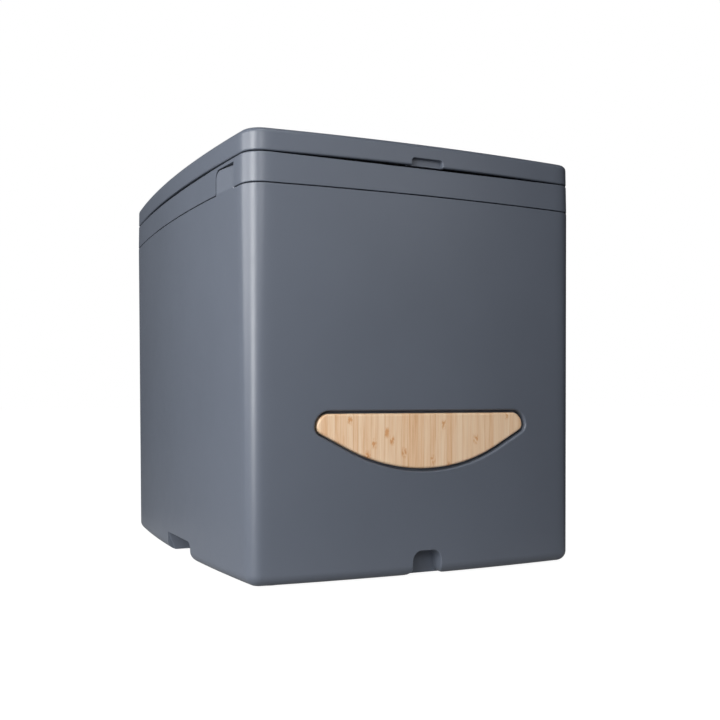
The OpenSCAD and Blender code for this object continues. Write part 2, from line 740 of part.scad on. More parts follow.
module rear_grille() color(DARK) rear_frame(0, fan_z) translate([0, 0, -wall]) difference() {
    union() {
        translate([0, 0, -1.9]) cylinder(r = grille_r, h = 1.8);
        translate([0, 0, -1]) tube(fan_hole_r - 0.1, fan_hole_r - 2, wall);
    }
    for (k = [-4:4]) translate([0, k * 7, -3]) {
        half = sqrt(pow(fan_hole_r - 4, 2) - pow(abs(k) * 7 + 2, 2));
        translate([-half, -2, 0]) cube([2 * half, 4, 3]);
    }
}
module power_inlet() color(DARK) rear_frame(inlet_x, inlet_z) difference() {
    union() {
        translate([0, 0, -wall - 2.1]) cylinder(r = inlet_r + 3, h = 2);
        translate([0, 0, -wall - 1]) cylinder(r = inlet_r, h = wall + 19);
        translate([0, 0, rest]) cylinder(r = inlet_r + 4, h = 3, $fn = 6);
    }
    translate([0, 0, -wall - 3]) tube(5.5, 1.2, 13);
}

// Wires inside the rear of the body, through hand-chosen points
wire_r = 1.6;
WIRES = [
    [[40.9, 198, 266], [47, 198, 262], [54, 194, 246], [60, 190, 225], [60, 190, 205]],
    [[80, 190, 125], [80, 188, 112], [90, 174, 84], [99, 150, 50], [97, 128, 24], [90, 122, 20.2],
     [85.6, 122, 20.2]],
    [[60, 190, 125], [60, 186, 114], [63, 174, 102], [68, 168, 93], [70, 174, 90.5], [70, 184.5, 90.5]],
    [[50, 190, 125], [46, 186, 112], [28, 180, 98], [0, 176, 90], [-40, 166, 86], [-58, 154, 82],
     [-62, 150, 70]],
    [[90, 190, 205], [90, 192, 250], [91, 194, 300], [90, 194, 337.6]],
];
function bend(p, steps) = concat([for (i = [0:len(p) - 2], j = [0:steps - 1])
    let (a = p[max(i - 1, 0)], b = p[i], c = p[i + 1], d = p[min(i + 2, len(p) - 1)], t = j / steps)
    0.5 * (2 * b + (c - a) * t + (2 * a - 5 * b + 4 * c - d) * t * t
           + (3 * b - a - 3 * c + d) * t * t * t)],
    [p[len(p) - 1]]);
module wire(points, r) {
    last = len(points) - 1;
    along = [for (i = [0:last]) unit(points[min(i + 1, last)] - points[max(i - 1, 0)])];
    skin([for (i = [0:last]) let (u = unit(cross(along[i], [0.31, 0.95, 0.07])), v = cross(along[i], u))
        [for (j = [0:7]) points[i] + r * (cos(45 * j) * u + sin(45 * j) * v)]]);
}
module wiring_loom() color(RUBBER) for (w = WIRES) wire(bend(w, 2), wire_r);

// Hinge parts: leaves, pins and screws
module knuckle(x, z, from, to) translate([x + from, hinge_y, z]) rotate([0, 90, 0])
    cylinder(r = barrel_r, h = to - from);
module leaf(x, z, dir, spans) difference() {
    union() {
        translate([x - leaf_w / 2, leaf_y, dir > 0 ? z + barrel_r + 0.5 : z - barrel_r - 0.5 - leaf_h])
            cube([leaf_w, leaf_t, leaf_h]);
        for (s = spans) {
            knuckle(x, z, s[0], s[1]);
            translate([x + s[0], leaf_y, dir > 0 ? z : z - barrel_r - 1])
                cube([s[1] - s[0], leaf_t, barrel_r + 1]);
        }
    }
    translate([x - leaf_w, hinge_y, z]) rotate([0, 90, 0]) cylinder(r = hinge_pin_r + run, h = 2 * leaf_w);
    leaf_fix([x], z, dir) screw_hole(1, leaf_t + 1, screw_r + 0.2);
}
knuckle_half = leaf_w / 6;
INNER = [[knuckle_gap - knuckle_half, knuckle_half - knuckle_gap]];
OUTER = [[-leaf_w / 2, -knuckle_half], [knuckle_half, leaf_w / 2]];
module hinge_pins(places, z) for (x = places) translate([x - leaf_w / 2, hinge_y, z]) rotate([0, 90, 0]) {
    translate([0, 0, -1.1]) cylinder(r = hinge_pin_r, h = leaf_w + 2.2);
    for (h = [-1.1, leaf_w + 0.1]) translate([0, 0, h]) cylinder(r = hinge_pin_r + 1, h = 1);
}
hinge_screw_len = 7;
module leaf_screws(places, z, dir) leaf_fix(places, z, dir) screw(hinge_screw_len);
module housing_hinge_lower() color(STEEL) for (x = HOUSING_HINGES) leaf(x, seam_z, -1, OUTER);
module housing_hinge_upper() color(STEEL) for (x = HOUSING_HINGES) leaf(x, seam_z, 1, INNER);
module housing_hinge_pins() color(STEEL) hinge_pins(HOUSING_HINGES, seam_z);
module body_hinge_screws() color(STEEL) leaf_screws(HOUSING_HINGES, seam_z, -1);
module lid_hinge_lower() color(STEEL) for (x = LID_HINGES) leaf(x, lid_hinge_z, -1, OUTER);
module lid_hinge_upper() color(STEEL) for (x = LID_HINGES) leaf(x, lid_hinge_z, 1, INNER);
module lid_hinge_pins() color(STEEL) hinge_pins(LID_HINGES, lid_hinge_z);
module housing_hinge_screws() color(STEEL) {
    leaf_screws(HOUSING_HINGES, seam_z, 1);
    leaf_screws(LID_HINGES, lid_hinge_z, -1);
}
module lid_screws() color(STEEL) {
    leaf_screws(LID_HINGES, lid_hinge_z, 1);
    for (p = LID_FIX) translate([p[0], p[1], lid_panel_z]) rotate([180, 0, 0]) screw(lid_panel_t + 2);
}

module catch_magnets() color(STEEL) both_sides() translate([magnet_x, magnet_y, magnet_z])
    cylinder(r = magnet_r, h = magnet_t);
catch_z = magnet_z + magnet_t + rest;
module catch_plates() color(STEEL) both_sides() translate([magnet_x, magnet_y, catch_z]) {
    cylinder(r = magnet_r, h = 2);
    cylinder(r = 2, h = 6);
}
contact_h = 30;
contact_pitch = 7;
module contact_block() color(DARK) translate([contact_x, contact_y, contact_z]) difference() {
    union() {
        translate([-contact_w / 2, -contact_d / 2, 0])
            cube([contact_w, rear_in(contact_z) - snug - contact_y + contact_d / 2, contact_h / 2 - 1]);
        centred(contact_w, contact_d, 0, contact_h);
        for (k = [-1:1]) translate([k * contact_pitch, 0, contact_h])
            cylinder(r = 1.5, h = pin_top - contact_z - contact_h);
    }
    translate([0, 0, -1]) cylinder(r = 3, h = 4);
}
module contact_pads() color(DARK) translate([contact_x, contact_y, pin_top + rest]) {
    centred(contact_w, contact_d, 1, deck_low - pin_top - rest - 1);
    for (k = [-1:1]) translate([k * contact_pitch, 0, 0]) cylinder(r = 2.5, h = 2);
}

// Turntable group
module drive_tabs(e) for (k = [0:tab_count - 1]) at_bowl(bin_z - e) rotate(360 * k / tab_count)
    translate([bin_foot_r - 6, -tab_w / 2 - e, 0]) cube([tab_reach + e, tab_w + 2 * e, tab_h + 2 * e]);
module turntable() color(NYLON) {
    at_bowl(table_z) tube(table_r, spindle_r + run + bush_wall, table_t);
    at_bowl(hub_z) tube(post_r - 2, spindle_r + run + bush_wall, table_z - hub_z + 1);
    drive_tabs(0);
}
module turntable_bush() color(STEEL) at_bowl(hub_z) {
    tube(spindle_r + run + bush_wall - run, spindle_r + run, bin_z - hub_z);
    translate([0, 0, bin_z - hub_z]) tube(spindle_r + 6, spindle_r + run, 0.7);
}
function involute(a) = tan(a) * 180 / PI - a;
function flank(rb, r) = r <= rb ? 0 : involute(acos(rb / r));
// Gear outline with tooth 0 on the X axis
function gear_outline(teeth) =
    let (rp = gear_m * teeth / 2, rb = rp * cos(20), ra = rp + 0.7 * gear_m, rf = rp - 1.05 * gear_m,
         half = 90 / teeth + involute(20) - backlash / rp * 90 / PI, r0 = max(rb, rf),
         radii = [for (i = [0:3]) r0 + (ra - r0) * i / 3])
    [for (t = [0:teeth - 1]) let (c = 360 * t / teeth) each concat(
        [rf * [cos(c - half), sin(c - half)]],
        [for (r = radii) let (a = c - half + flank(rb, r)) r * [cos(a), sin(a)]],
        [for (i = [3:-1:0]) let (a = c + half - flank(rb, radii[i])) radii[i] * [cos(a), sin(a)]],
        [rf * [cos(c + half), sin(c + half)]])];
module ring_gear() color(NYLON) at_bowl(gear_z) difference() {
    linear_extrude(gear_t) polygon(gear_outline(ring_teeth));
    translate([0, 0, -1]) cylinder(r = gear_bore_r, h = gear_t + 2);
}
module drive_pinion() color(NYLON) translate([0, pinion_y, gear_z]) difference() {
    rotate(180 / pinion_teeth) linear_extrude(gear_t) polygon(gear_outline(pinion_teeth));
    translate([0, 0, -1]) cylinder(r = shaft_r + hold, h = gear_t + 2);
}
module output_shaft() color(STEEL) translate([0, pinion_y, gearbox_z + 3 + rest])
    cylinder(r = shaft_r, h = shaft_top - gearbox_z - 3 - rest);
module waste_bin() color(DARK) difference() {
    at_bowl(bin_z) rotate_extrude($fn = 96) {
        w = bin_wall;
        f = bin_foot;
        polygon([[0, f], [bin_foot_r - w, f], [bin_foot_r - w, 0], [bin_foot_r, 0], [bin_foot_r, f],
                 [bin_floor_r, f + 4], [bin_rim_r, bin_h - w], [bin_rim_r + 3, bin_h - w],
                 [bin_rim_r + 3, bin_h - 12], [bin_rim_r + 3 + w, bin_h - 12],
                 [bin_rim_r + 3 + w, bin_h],
                 [bin_rim_r - w, bin_h], [bin_floor_r - w, f + 4 + w], [bin_foot_r - w, f + w], [0, f + w]]);
    }
    drive_tabs(rest);
}

// Seat housing
module housing_skin() loft([
    [housing_z, -edge_break], [housing_z + edge_break, 0], [rim_z - rim_dip - 1, 0],
    [rim_z - 1, 0, rim_dip], [rim_z - 0.3, -0.3, rim_dip], [rim_z, -1, rim_dip],
    [rim_z, 1 - rim_w, rim_dip], [deck_z, -rim_w]]);
module seat_opening(grow) translate([0, bowl_y, deck_low - 1]) linear_extrude(housing_wall + 2)
    polygon([for (i = [0:71]) [(opening_x + grow) * cos(5 * i), (opening_y + grow) * sin(5 * i)]]);
module hook() {
    r0 = chute_flange_r + hook_gap;
    z0 = chute_flange_z - rest - hook_wall / 2;
    at_bowl(0) rotate(-hook_angle / 2) rotate_extrude(angle = hook_angle)
        polygon([[r0 - 6, z0], [r0 + hook_wall, z0], [r0 + hook_wall, deck_low + 1], [r0, deck_low + 1],
                 [r0, z0 + hook_wall / 2], [r0 - 6, z0 + hook_wall / 2]]);
}
module seat_housing() color(GREY) difference() {
    union() {
        difference() {
            housing_skin();
            loft([[housing_z - 1, -housing_wall], [housing_z + 8, -housing_wall],
                  [deck_low - 3, -rim_w + 1], [deck_low, -rim_w - 1]]);
        }
        for (k = [0:hook_count - 1]) rotate_about_bowl(45 + 360 * k / hook_count) hook();
        both_sides() translate([magnet_x, magnet_y, catch_z + 2])
            cylinder(r = magnet_r - 1, h = deck_low + 1 - catch_z - 2);
    }
    seat_opening(0);
    both_sides() difference() {
        along_x(0, body_w) grip_profile(seam_z - over, grip_gap);
        loft([[seam_z - 2 * over, -tab_t - 0.6], [seam_z + grip_h + 5, -tab_t - 0.6]]);
    }
    both_sides() translate([magnet_x, magnet_y, catch_z]) cylinder(r = 2 + hold, h = 6.5);
    for (x = HOUSING_HINGES) barrel_relief(x, seam_z);
    for (x = LID_HINGES) barrel_relief(x, lid_hinge_z);
    leaf_fix(HOUSING_HINGES, seam_z, 1) screw_hole(1, 12);
    leaf_fix(LID_HINGES, lid_hinge_z, -1) screw_hole(1, 12);
    for (p = SEAT_FIX) translate([p[0], p[1], deck_z]) screw_hole(1, housing_wall + 1, clear_r);
    translate([button_x, button_y, deck_low - 1]) cylinder(r = button_r + 2.5, h = housing_wall + 2);
}
module rotate_about_bowl(a) translate([0, bowl_y, 0]) rotate(a) translate([0, -bowl_y, 0]) children();
// Seat ring section: share of the way from the opening to the outer edge, share of the height
SEAT_SECTION = [[0.04, 0], [0.96, 0], [1, 0.1], [1, 0.5], [0.97, 0.75], [0.9, 0.92], [0.78, 1], [0.6, 1],
                [0.4, 0.94], [0.2, 0.8], [0.06, 0.58], [0, 0.3]];
seat_steps = 72;
module seat_ring() color(GREY) difference() {
    n = len(SEAT_SECTION);
    points = [for (i = [0:seat_steps - 1], p = SEAT_SECTION)
        let (a = 360 * i / seat_steps, x = opening_x + (seat_x - opening_x) * p[0],
             y = opening_y + (seat_y - opening_y) * p[0])
        [x * cos(a), bowl_y + y * sin(a), deck_z + seat_h * p[1]]];
    faces = [for (i = [0:seat_steps - 1], j = [0:n - 1])
        let (a = i * n + j, b = i * n + (j + 1) % n, c = ((i + 1) % seat_steps) * n + j,
             d = ((i + 1) % seat_steps) * n + (j + 1) % n)
        each [[a, b, d], [a, d, c]]];
    polyhedron(points, faces, convexity = 6);
    for (p = SEAT_FIX) translate([p[0], p[1], deck_z]) screw_hole(6, 1);
}
module seat_screws() color(STEEL) for (p = SEAT_FIX) translate([p[0], p[1], deck_low]) rotate([180, 0, 0])
    screw(housing_wall + 5);
seal_top = seam_z + 7;
module housing_seal() color(RUBBER) difference() {
    loft([[seam_z - 6, -wall - 0.6], [seam_z, -wall - 0.6], [housing_z + 0.3, -housing_wall - 0.2],
          [seal_top, -housing_wall - 0.2]]);
    loft([[seam_z - 7, -wall - 3], [seal_top + 1, -wall - 3]]);
    both_sides() along_x(0, body_w) grip_profile(seam_z - 12, 2);
}
module liner_cassette() color(NYLON) at_bowl(cassette_z) rotate_extrude($fn = 96) {
    w = cassette_wall;
    polygon([[cassette_r, 0], [cassette_outer_r, 0], [cassette_outer_r, cassette_h],
             [cassette_r + 6, cassette_h], [cassette_r + 6, cassette_h - w],
             [cassette_outer_r - w, cassette_h - w], [cassette_outer_r - w, w], [cassette_r + w, w],
             [cassette_r + w, cassette_h - 7], [cassette_r, cassette_h - 7]]);
}
// Film: the folded stock in the cassette, the sleeve down the chute and the twisted tail
module liner_film() color(FILM) at_bowl(0) {
    room = cassette_outer_r - cassette_r - 2 * cassette_wall;
    pack_in = cassette_r + cassette_wall + room * 0.13;
    pack_out = cassette_outer_r - cassette_wall - room * 0.1;
    r = cassette_r - film_gap;
    z = cassette_z;
    top = cassette_top - 5;
    slide = film_t * 0.8;
    translate([0, 0, z + cassette_wall + rest]) tube(pack_out, pack_in, top - z - cassette_wall - rest);
    rotate_extrude($fn = 96) polygon([
        [pack_in + 1, top], [r, top], [r, z - rest + film_gap], [chute_top_r - slide, z - rest + film_gap],
        [chute_low_r - slide, chute_z], [12, chute_z - 16], [8, chute_z - 22], [13, chute_z - 34],
        [0, chute_z - 36],
        [0, chute_z - 17], [9, chute_z - 14], [chute_low_r - slide - film_t, chute_z + film_t],
        [chute_top_r - slide - film_t, z + film_t], [r - film_t, z + film_t], [r - film_t, top + film_t],
        [pack_in + 1, top + film_t]]);
}
module bowl_chute() color(GREY) difference() {
    at_bowl(0) rotate_extrude($fn = 96) polygon([
        [chute_top_r, chute_flange_z + chute_flange_t], [chute_low_r, chute_z],
        [chute_low_r + chute_wall, chute_z],
        [chute_top_r + chute_wall, chute_flange_z], [chute_flange_r, chute_flange_z],
        [chute_flange_r, chute_flange_z + chute_flange_t]]);
    for (k = [0:hook_count - 1])
        rotate_about_bowl(45 + chute_turn + 360 * k / hook_count - hook_angle / 2 - 2)
            at_bowl(chute_flange_z - 1) rotate_extrude(angle = hook_angle + 4)
                translate([chute_flange_r + hook_gap - 7, 0]) square([10, chute_flange_t + 2]);
}

// Flush button
module at_button(z) translate([button_x, button_y, z]) children();
cup_z = deck_low - cup_depth;
module button_bezel() color(DARK) difference() {
    union() {
        at_button(deck_z) cylinder(r = bezel_r, h = bezel_t);
        at_button(cup_z) cylinder(r = button_r + 2.3, h = deck_z + 0.5 - cup_z);
    }
    at_button(cup_z + 2) cylinder(r = button_r + 0.3, h = 60);
    at_button(cup_z - 1) cylinder(r = stem_r + run, h = 10);
}
switch_h = 8;
module button_switch() color(DARK) difference() {
    at_button(cup_z - switch_h) translate([-8, -5, 0]) cube([16, 10, switch_h]);
    at_button(cup_z - button_travel - 1) cylinder(r = stem_r + 0.3, h = button_travel + 2);
}
module button_spring() color(STEEL) at_button(cup_z + 2)
    tube(stem_r + 3, stem_r + 1.5, button_top - button_t - cup_z - 2);
module flush_button() color(NYLON) {
    at_button(button_top - button_t) cylinder(r = button_r, h = button_t);
    at_button(cup_z) cylinder(r = stem_r, h = button_top - button_t - cup_z + 1);
}

// Lid
module lid_skin() loft(concat(
    [[lid_z, -1.5], [lid_z + 0.45, -0.45], [lid_z + 1.5, 0]],
    [for (a = [0:22.5:90]) [lid_top - lid_fillet + lid_fillet * sin(a), -lid_fillet * (1 - cos(a))]],
    [for (k = [0.85, 0.6, 0.35, 0.1]) [lid_top + lid_dome * (1 - k * k), -lid_fillet, 0, k]]));
module notch_block(e, depth) translate([0, front_face(0, seam_z) + depth, 0]) rotate([90, 0, 0])
    linear_extrude(depth + over) {
        r = 3;
        w = notch_half_w + e;
        top = lid_z + notch_h + e;
        polygon(concat([[-w, lid_z - over]], arc([r - w, top - r], r, 180, 90, 4),
                       arc([w - r, top - r], r, 90, 0, 4), [[w, lid_z - over]]));
    }
module lid_shell() color(GREY) difference() {
    lid_skin();
    difference() {
        loft([[lid_z - 1, -lid_wall], [lid_top - lid_fillet, -lid_wall],
              [lid_top - lid_wall - 1, -lid_wall - 1.2], [lid_top - lid_wall, -lid_wall - 3]]);
        notch_block(lid_wall, notch_depth + lid_wall);
    }
    notch_block(0, notch_depth);
    for (x = LID_HINGES) barrel_relief(x, lid_hinge_z);
    leaf_fix(LID_HINGES, lid_hinge_z, 1) screw_hole(1, 12);
    for (p = LID_FIX) translate([p[0], p[1], lid_panel_z]) screw_hole(lid_panel_t + 2.2, 0);
}
module lid_panel() color(GREY) difference() {
    plate(lid_panel_z, -lid_panel_inset, lid_panel_t);
    for (p = LID_FIX) translate([p[0], p[1], lid_panel_z]) screw_hole(lid_panel_t + 1, 1, clear_r);
}
module lid_seal() color(RUBBER)
    plate_ring(deck_z + rest, -lid_seal_inset, -lid_seal_inset - lid_seal_w, lid_panel_z - deck_z - rest);
module lid_bumpers() color(RUBBER) for (p = BUMPERS) translate([p[0], p[1], deck_z + seat_h + rest])
    cylinder(r = bumper_r, h = lid_panel_z - deck_z - seat_h - rest);

body_shell();
bamboo_panel();
panel_screws();
base_pan();
rubber_feet();
pan_screws();
spindle();
spindle_clip();
glide_ring();
gearbox();
drive_motor();
gearbox_screws();
battery_pack();
battery_strap();
control_box();
circuit_board();
control_cover();
fan_frame();
carbon_filter();
fan_screws();
rear_grille();
power_inlet();
wiring_loom();
housing_hinge_lower();
housing_hinge_pins();
body_hinge_screws();
catch_magnets();
contact_block();
turntable();
ring_gear();
turntable_bush();
waste_bin();
drive_pinion();
output_shaft();
fan_rotor();
seat_housing();
seat_ring();
seat_screws();
housing_seal();
housing_hinge_upper();
lid_hinge_lower();
lid_hinge_pins();
housing_hinge_screws();
catch_plates();
contact_pads();
liner_cassette();
liner_film();
bowl_chute();
button_bezel();
button_spring();
button_switch();
flush_button();
lid_shell();
lid_panel();
lid_seal();
lid_bumpers();
lid_hinge_upper();
lid_screws();
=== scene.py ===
"""Portable dry flush toilet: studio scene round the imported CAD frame, in metres."""

import json
import math

import bmesh
import bpy
import numpy as np
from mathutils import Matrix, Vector, kdtree


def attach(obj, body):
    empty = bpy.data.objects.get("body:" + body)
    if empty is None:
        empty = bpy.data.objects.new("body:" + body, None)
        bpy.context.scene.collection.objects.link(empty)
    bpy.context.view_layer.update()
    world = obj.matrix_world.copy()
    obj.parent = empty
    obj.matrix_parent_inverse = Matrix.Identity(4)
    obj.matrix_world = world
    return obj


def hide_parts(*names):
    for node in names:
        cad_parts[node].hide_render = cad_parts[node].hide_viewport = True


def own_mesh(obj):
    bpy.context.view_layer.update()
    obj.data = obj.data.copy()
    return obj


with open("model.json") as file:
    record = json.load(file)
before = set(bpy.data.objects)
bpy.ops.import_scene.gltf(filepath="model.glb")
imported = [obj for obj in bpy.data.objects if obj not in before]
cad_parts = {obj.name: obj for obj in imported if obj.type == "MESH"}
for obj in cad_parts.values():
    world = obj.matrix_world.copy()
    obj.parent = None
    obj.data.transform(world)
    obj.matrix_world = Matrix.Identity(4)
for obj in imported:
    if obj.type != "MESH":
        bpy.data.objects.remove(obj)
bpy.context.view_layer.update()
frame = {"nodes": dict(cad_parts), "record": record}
nodes = frame["nodes"]
MM = 0.001

# Sizes of the case in millimetres, as in the part's source
BODY_D = 434.0
SIDE_CROWN = 10.0
FRONT_CROWN = 7.5
CORNER_R = 20.0
CORNER_BLEND = 6.0
HINGE_STAND = 4.0
CHORD_X = 384.0 / 2 - SIDE_CROWN
FRONT_Y = -BODY_D / 2 + FRONT_CROWN
BACK_Y = BODY_D / 2 - HINGE_STAND
MID_Y = (FRONT_Y + BACK_Y) / 2
CORE_X = CHORD_X - CORNER_R
CORE_Y = (BACK_Y - FRONT_Y) / 2 - CORNER_R
DRAFT = 0.019
SEAM_Z = 360.7
SEAM_GAP = 0.8
HOUSING_Z = SEAM_Z + SEAM_GAP / 2
BODY_TOP = SEAM_Z - SEAM_GAP / 2
RIM_Z = 388.7
LID_Z = RIM_Z + 1.0
LID_TOP = LID_Z + 21.4
LID_DOME = 1.9
LID_HINGE_Z = (RIM_Z + LID_Z) / 2
DECK_Z = RIM_Z - 4.6
RIM_DIP = 2.0
WALL = 3.5
FOOT_STAND = 1.5
BASE_FILLET = 10.0
RIM_W = 8.0
BOWL_Y = -22.0
EDGE = 0.8
FLANGE_W = 54.0
FLANGE_TOP = FOOT_STAND + WALL
BELOW = -5.0
AHEAD = -240.0
CROWN_Y = FRONT_Y - FRONT_CROWN
FLARE_Z = FOOT_STAND - 0.06
DECK_LOW = DECK_Z - 3.0
ARCH_DEPTH = 22.0
HOLD_X = 160.0
NOTCH_DEPTH = 4.5
LID_FILLET = 5.0
PANEL_HALF_W = 113.0
PANEL_TOP = 153.5
PANEL_BOTTOM = 101.3
PANEL_CORNER_R = 12.0
PANEL_END_R = 6.5
PANEL_SLOPE = 27.5
PANEL_T = 6.4
PANEL_GAP = 2.6
RECESS = 8.0
MIDDLE = np.array((0.0, (PANEL_TOP + PANEL_BOTTOM) / 2))
INWARD = (1, 0.8, 0.6, 0.4, 0.2, 0.05)
TO_MIDDLE = (0.97, 0.9, 0.8, 0.65, 0.5, 0.35, 0.2, 0.1)
GRIP_Y = -176.5
GRIP_W = 39.5
GRIP_H = 23.0
GRIP_DEPTH = 4.5
GRIP_GAP = 1.0
TAB_T = GRIP_DEPTH + 1.5
LEAF_W = 48.0
HOUSING_HINGE_X = 130.0
LID_HINGE_X = 62.0
FAN_Z = 296.0
FAN_W = 80.0
SEAT_IN = (104.0, 120.0)
SEAT_OUT = (152.0, 170.0)
SEAT_H = 17.0
BUTTON = (130.0, 172.0)
CASSETTE_TOP = DECK_LOW - 0.3
CHUTE_FLANGE_R = 154.0
CHUTE_FLANGE_Z = CASSETTE_TOP - 28 - 3.3
CATCH_Z = 346.3
SPRING_Z = (DECK_LOW - 14.0, DECK_Z + 0.5)

# Camera and photograph, in pixels of the 720 frame, metres and degrees
PHOTO = 720.0
CAMERA_FOCAL = 907.7
CAMERA_CENTRE = (301.5, 342.1)
CAMERA_AT = (-0.4547, -0.9557, 0.168)
CAMERA_YAW = 23.572
CAMERA_PITCH = 3.509
FLOOR_GLOW = 0.95
FLOOR_BOUNCE = 0.16
WORLD_LIGHT = 0.04


# Outline of the case, as in the part's source but finer
LEAST_R = 3.0


def side_point(side, s, e):
    x, y, bulge = CORE_X - e, CORE_Y - e, 1 - s * s
    return [(s * x, -y - FRONT_CROWN * bulge), (x + SIDE_CROWN * bulge, s * y), (-s * x, y),
            (-x - SIDE_CROWN * bulge, -s * y)][side]


def side_normal(side, s, e):
    n = [(2 * FRONT_CROWN * s, e - CORE_X), (CORE_Y - e, 2 * SIDE_CROWN * s), (0, 1),
         (e - CORE_Y, -2 * SIDE_CROWN * s)][side]
    length = math.hypot(*n)
    return (n[0] / length, n[1] / length)


def stations(e, side_steps=44, corner_steps=16):
    """Rows of x, y, outward normal x, y, and 1 at mid side falling to 0 at the corners."""
    rows = []
    for side in range(4):
        for i in range(side_steps + 1):
            s = -1 + 2 * i / side_steps
            rows.append((*side_point(side, s, e), *side_normal(side, s, e), 1 - s * s))
        n0, n1 = side_normal(side, 1, e), side_normal((side + 1) % 4, -1, e)
        a0 = math.atan2(n0[1], n0[0])
        turn = (math.atan2(n1[1], n1[0]) - a0) % (2 * math.pi)
        for j in range(1, corner_steps):
            a = a0 + turn * j / corner_steps
            rows.append((*side_point(side, 1, e), math.cos(a), math.sin(a), 0.0))
    return np.array(rows)


STATIONS = stations(0)
SAG = STATIONS[:, 4]


def level(z, off, dip=0.0, scale=1.0):
    """Ring of points at height z on the outline grown by off, sinking by dip at mid side."""
    e = max(0.0, LEAST_R - CORNER_R - off)
    rows = STATIONS if e == 0 else stations(e)
    r = CORNER_R + off + e
    x = (rows[:, 0] + r * rows[:, 2]) * scale
    y = MID_Y + (rows[:, 1] + r * rows[:, 3]) * scale
    return np.stack([x, y, z - dip * SAG], 1)


def body_off(z):
    return -DRAFT * (SEAM_Z - z)


# Mesh helpers
def new_object(name, verts, faces):
    mesh = bpy.data.meshes.new(name)
    mesh.from_pydata([tuple(v * MM for v in p) for p in verts], [], faces)
    mesh.validate()
    obj = bpy.data.objects.new(name, mesh)
    bpy.context.scene.collection.objects.link(obj)
    return obj


def loft(name, rings, closed=False, caps=True):
    """Skin over rings of points: closed joins the last ring to the first, caps closes both ends."""
    n = len(rings[0])
    count = len(rings)
    faces = []
    for r in range(count if closed else count - 1):
        a, b = r * n, (r + 1) % count * n
        faces += [(a + i, a + (i + 1) % n, b + (i + 1) % n, b + i) for i in range(n)]
    if caps and not closed:
        faces += [tuple(range(n - 1, -1, -1)), tuple((count - 1) * n + i for i in range(n))]
    obj = new_object(name, np.concatenate(rings), faces)
    form = bmesh.new()
    form.from_mesh(obj.data)
    if form.calc_volume(signed=True) < 0:
        obj.data.flip_normals()
    form.free()
    return obj


def shade(obj, angle=30):
    """Smooth shading that keeps edges sharper than angle."""
    mesh = obj.data
    mesh.polygons.foreach_set("use_smooth", [True] * len(mesh.polygons))
    mesh.set_sharp_from_angle(angle=math.radians(angle))


def apply_modifiers(obj):
    graph = bpy.context.evaluated_depsgraph_get()
    mesh = bpy.data.meshes.new_from_object(obj.evaluated_get(graph))
    obj.modifiers.clear()
    old, obj.data = obj.data, mesh
    bpy.data.meshes.remove(old)


def carve(obj, cutter, operation="DIFFERENCE"):
    modifier = obj.modifiers.new("carve", "BOOLEAN")
    modifier.operation = operation
    modifier.solver = "EXACT"
    modifier.object = cutter
    apply_modifiers(obj)
    bpy.data.objects.remove(cutter)


def join(name, parts):
    """One mesh object from several."""
    verts, faces = [], []
    for part in parts:
        base = len(verts)
        verts += [tuple(v.co / MM) for v in part.data.vertices]
        faces += [tuple(base + i for i in f.vertices) for f in part.data.polygons]
        bpy.data.objects.remove(part)
    return new_object(name, verts, faces)


# Flat outlines
def arc(centre, r, a0, a1, n):
    a = np.radians(np.linspace(a0, a1, n + 1))
    return np.stack([centre[0] + r * np.cos(a), centre[1] + r * np.sin(a)], 1)


def grow(points, e):
    """Closed anticlockwise outline moved out by e, with mitred corners."""
    p = np.array(points, float)
    edge = np.roll(p, -1, 0) - p
    normal = np.stack([edge[:, 1], -edge[:, 0]], 1)
    normal /= np.linalg.norm(normal, axis=1)[:, None]
    back = np.roll(normal, 1, 0)
    return p + e * (normal + back) / (1 + (normal * back).sum(1))[:, None]


def smile():
    """Half-moon of the bamboo plate about its middle."""
    top = (PANEL_TOP - PANEL_BOTTOM) / 2
    end = (PANEL_HALF_W - PANEL_END_R, top - PANEL_CORNER_R)
    corner = (PANEL_HALF_W - PANEL_CORNER_R, top - PANEL_CORNER_R)
    s, c = math.sin(math.radians(PANEL_SLOPE)), math.cos(math.radians(PANEL_SLOPE))
    low_r = (end[0] * s - end[1] * c + PANEL_END_R - top * c) / (1 - c)
    shape = [arc((0, low_r - top), low_r, 270 - PANEL_SLOPE, 270 + PANEL_SLOPE, 60),
             arc(end, PANEL_END_R, 270 + PANEL_SLOPE, 360, 10)[1:],
             arc(corner, PANEL_CORNER_R, 0, 90, 14)[1:],
             np.stack([np.linspace(corner[0], -corner[0], 50)[1:-1], np.full(48, top)], 1),
             arc((-corner[0], corner[1]), PANEL_CORNER_R, 90, 180, 14),
             arc((-end[0], end[1]), PANEL_END_R, 180, 270 - PANEL_SLOPE, 10)[1:-1]]
    return np.concatenate(shape) + (0, (PANEL_TOP + PANEL_BOTTOM) / 2)


def arch_outline():
    """Front arch in x and z, with its feet flaring out to the floor."""
    w, h, r, foot = 15.0, 24.5, 9.0, 7.0
    return np.concatenate([
        [(-w - foot, BELOW), (w + foot, BELOW)], arc((w + foot, FLARE_Z + foot), foot, 270, 180, 6),
        arc((w - r, h - r), r, 0, 90, 8), arc((r - w, h - r), r, 90, 180, 8),
        arc((-w - foot, FLARE_Z + foot), foot, 0, -90, 6)])


def hold_outline():
    """Side hand hold in y and z: a flare and a round corner at the front, a sharp corner at the rear."""
    y0, y1, h, r, foot = -52.0, 28.0, 20.5, 8.0, 10.5
    return np.concatenate([
        [(y0 - foot, BELOW), (y1, BELOW), (y1, h)], arc((y0 + r, h - r), r, 90, 180, 8),
        arc((y0 - foot, FLARE_Z + foot), foot, 0, -90, 8)])


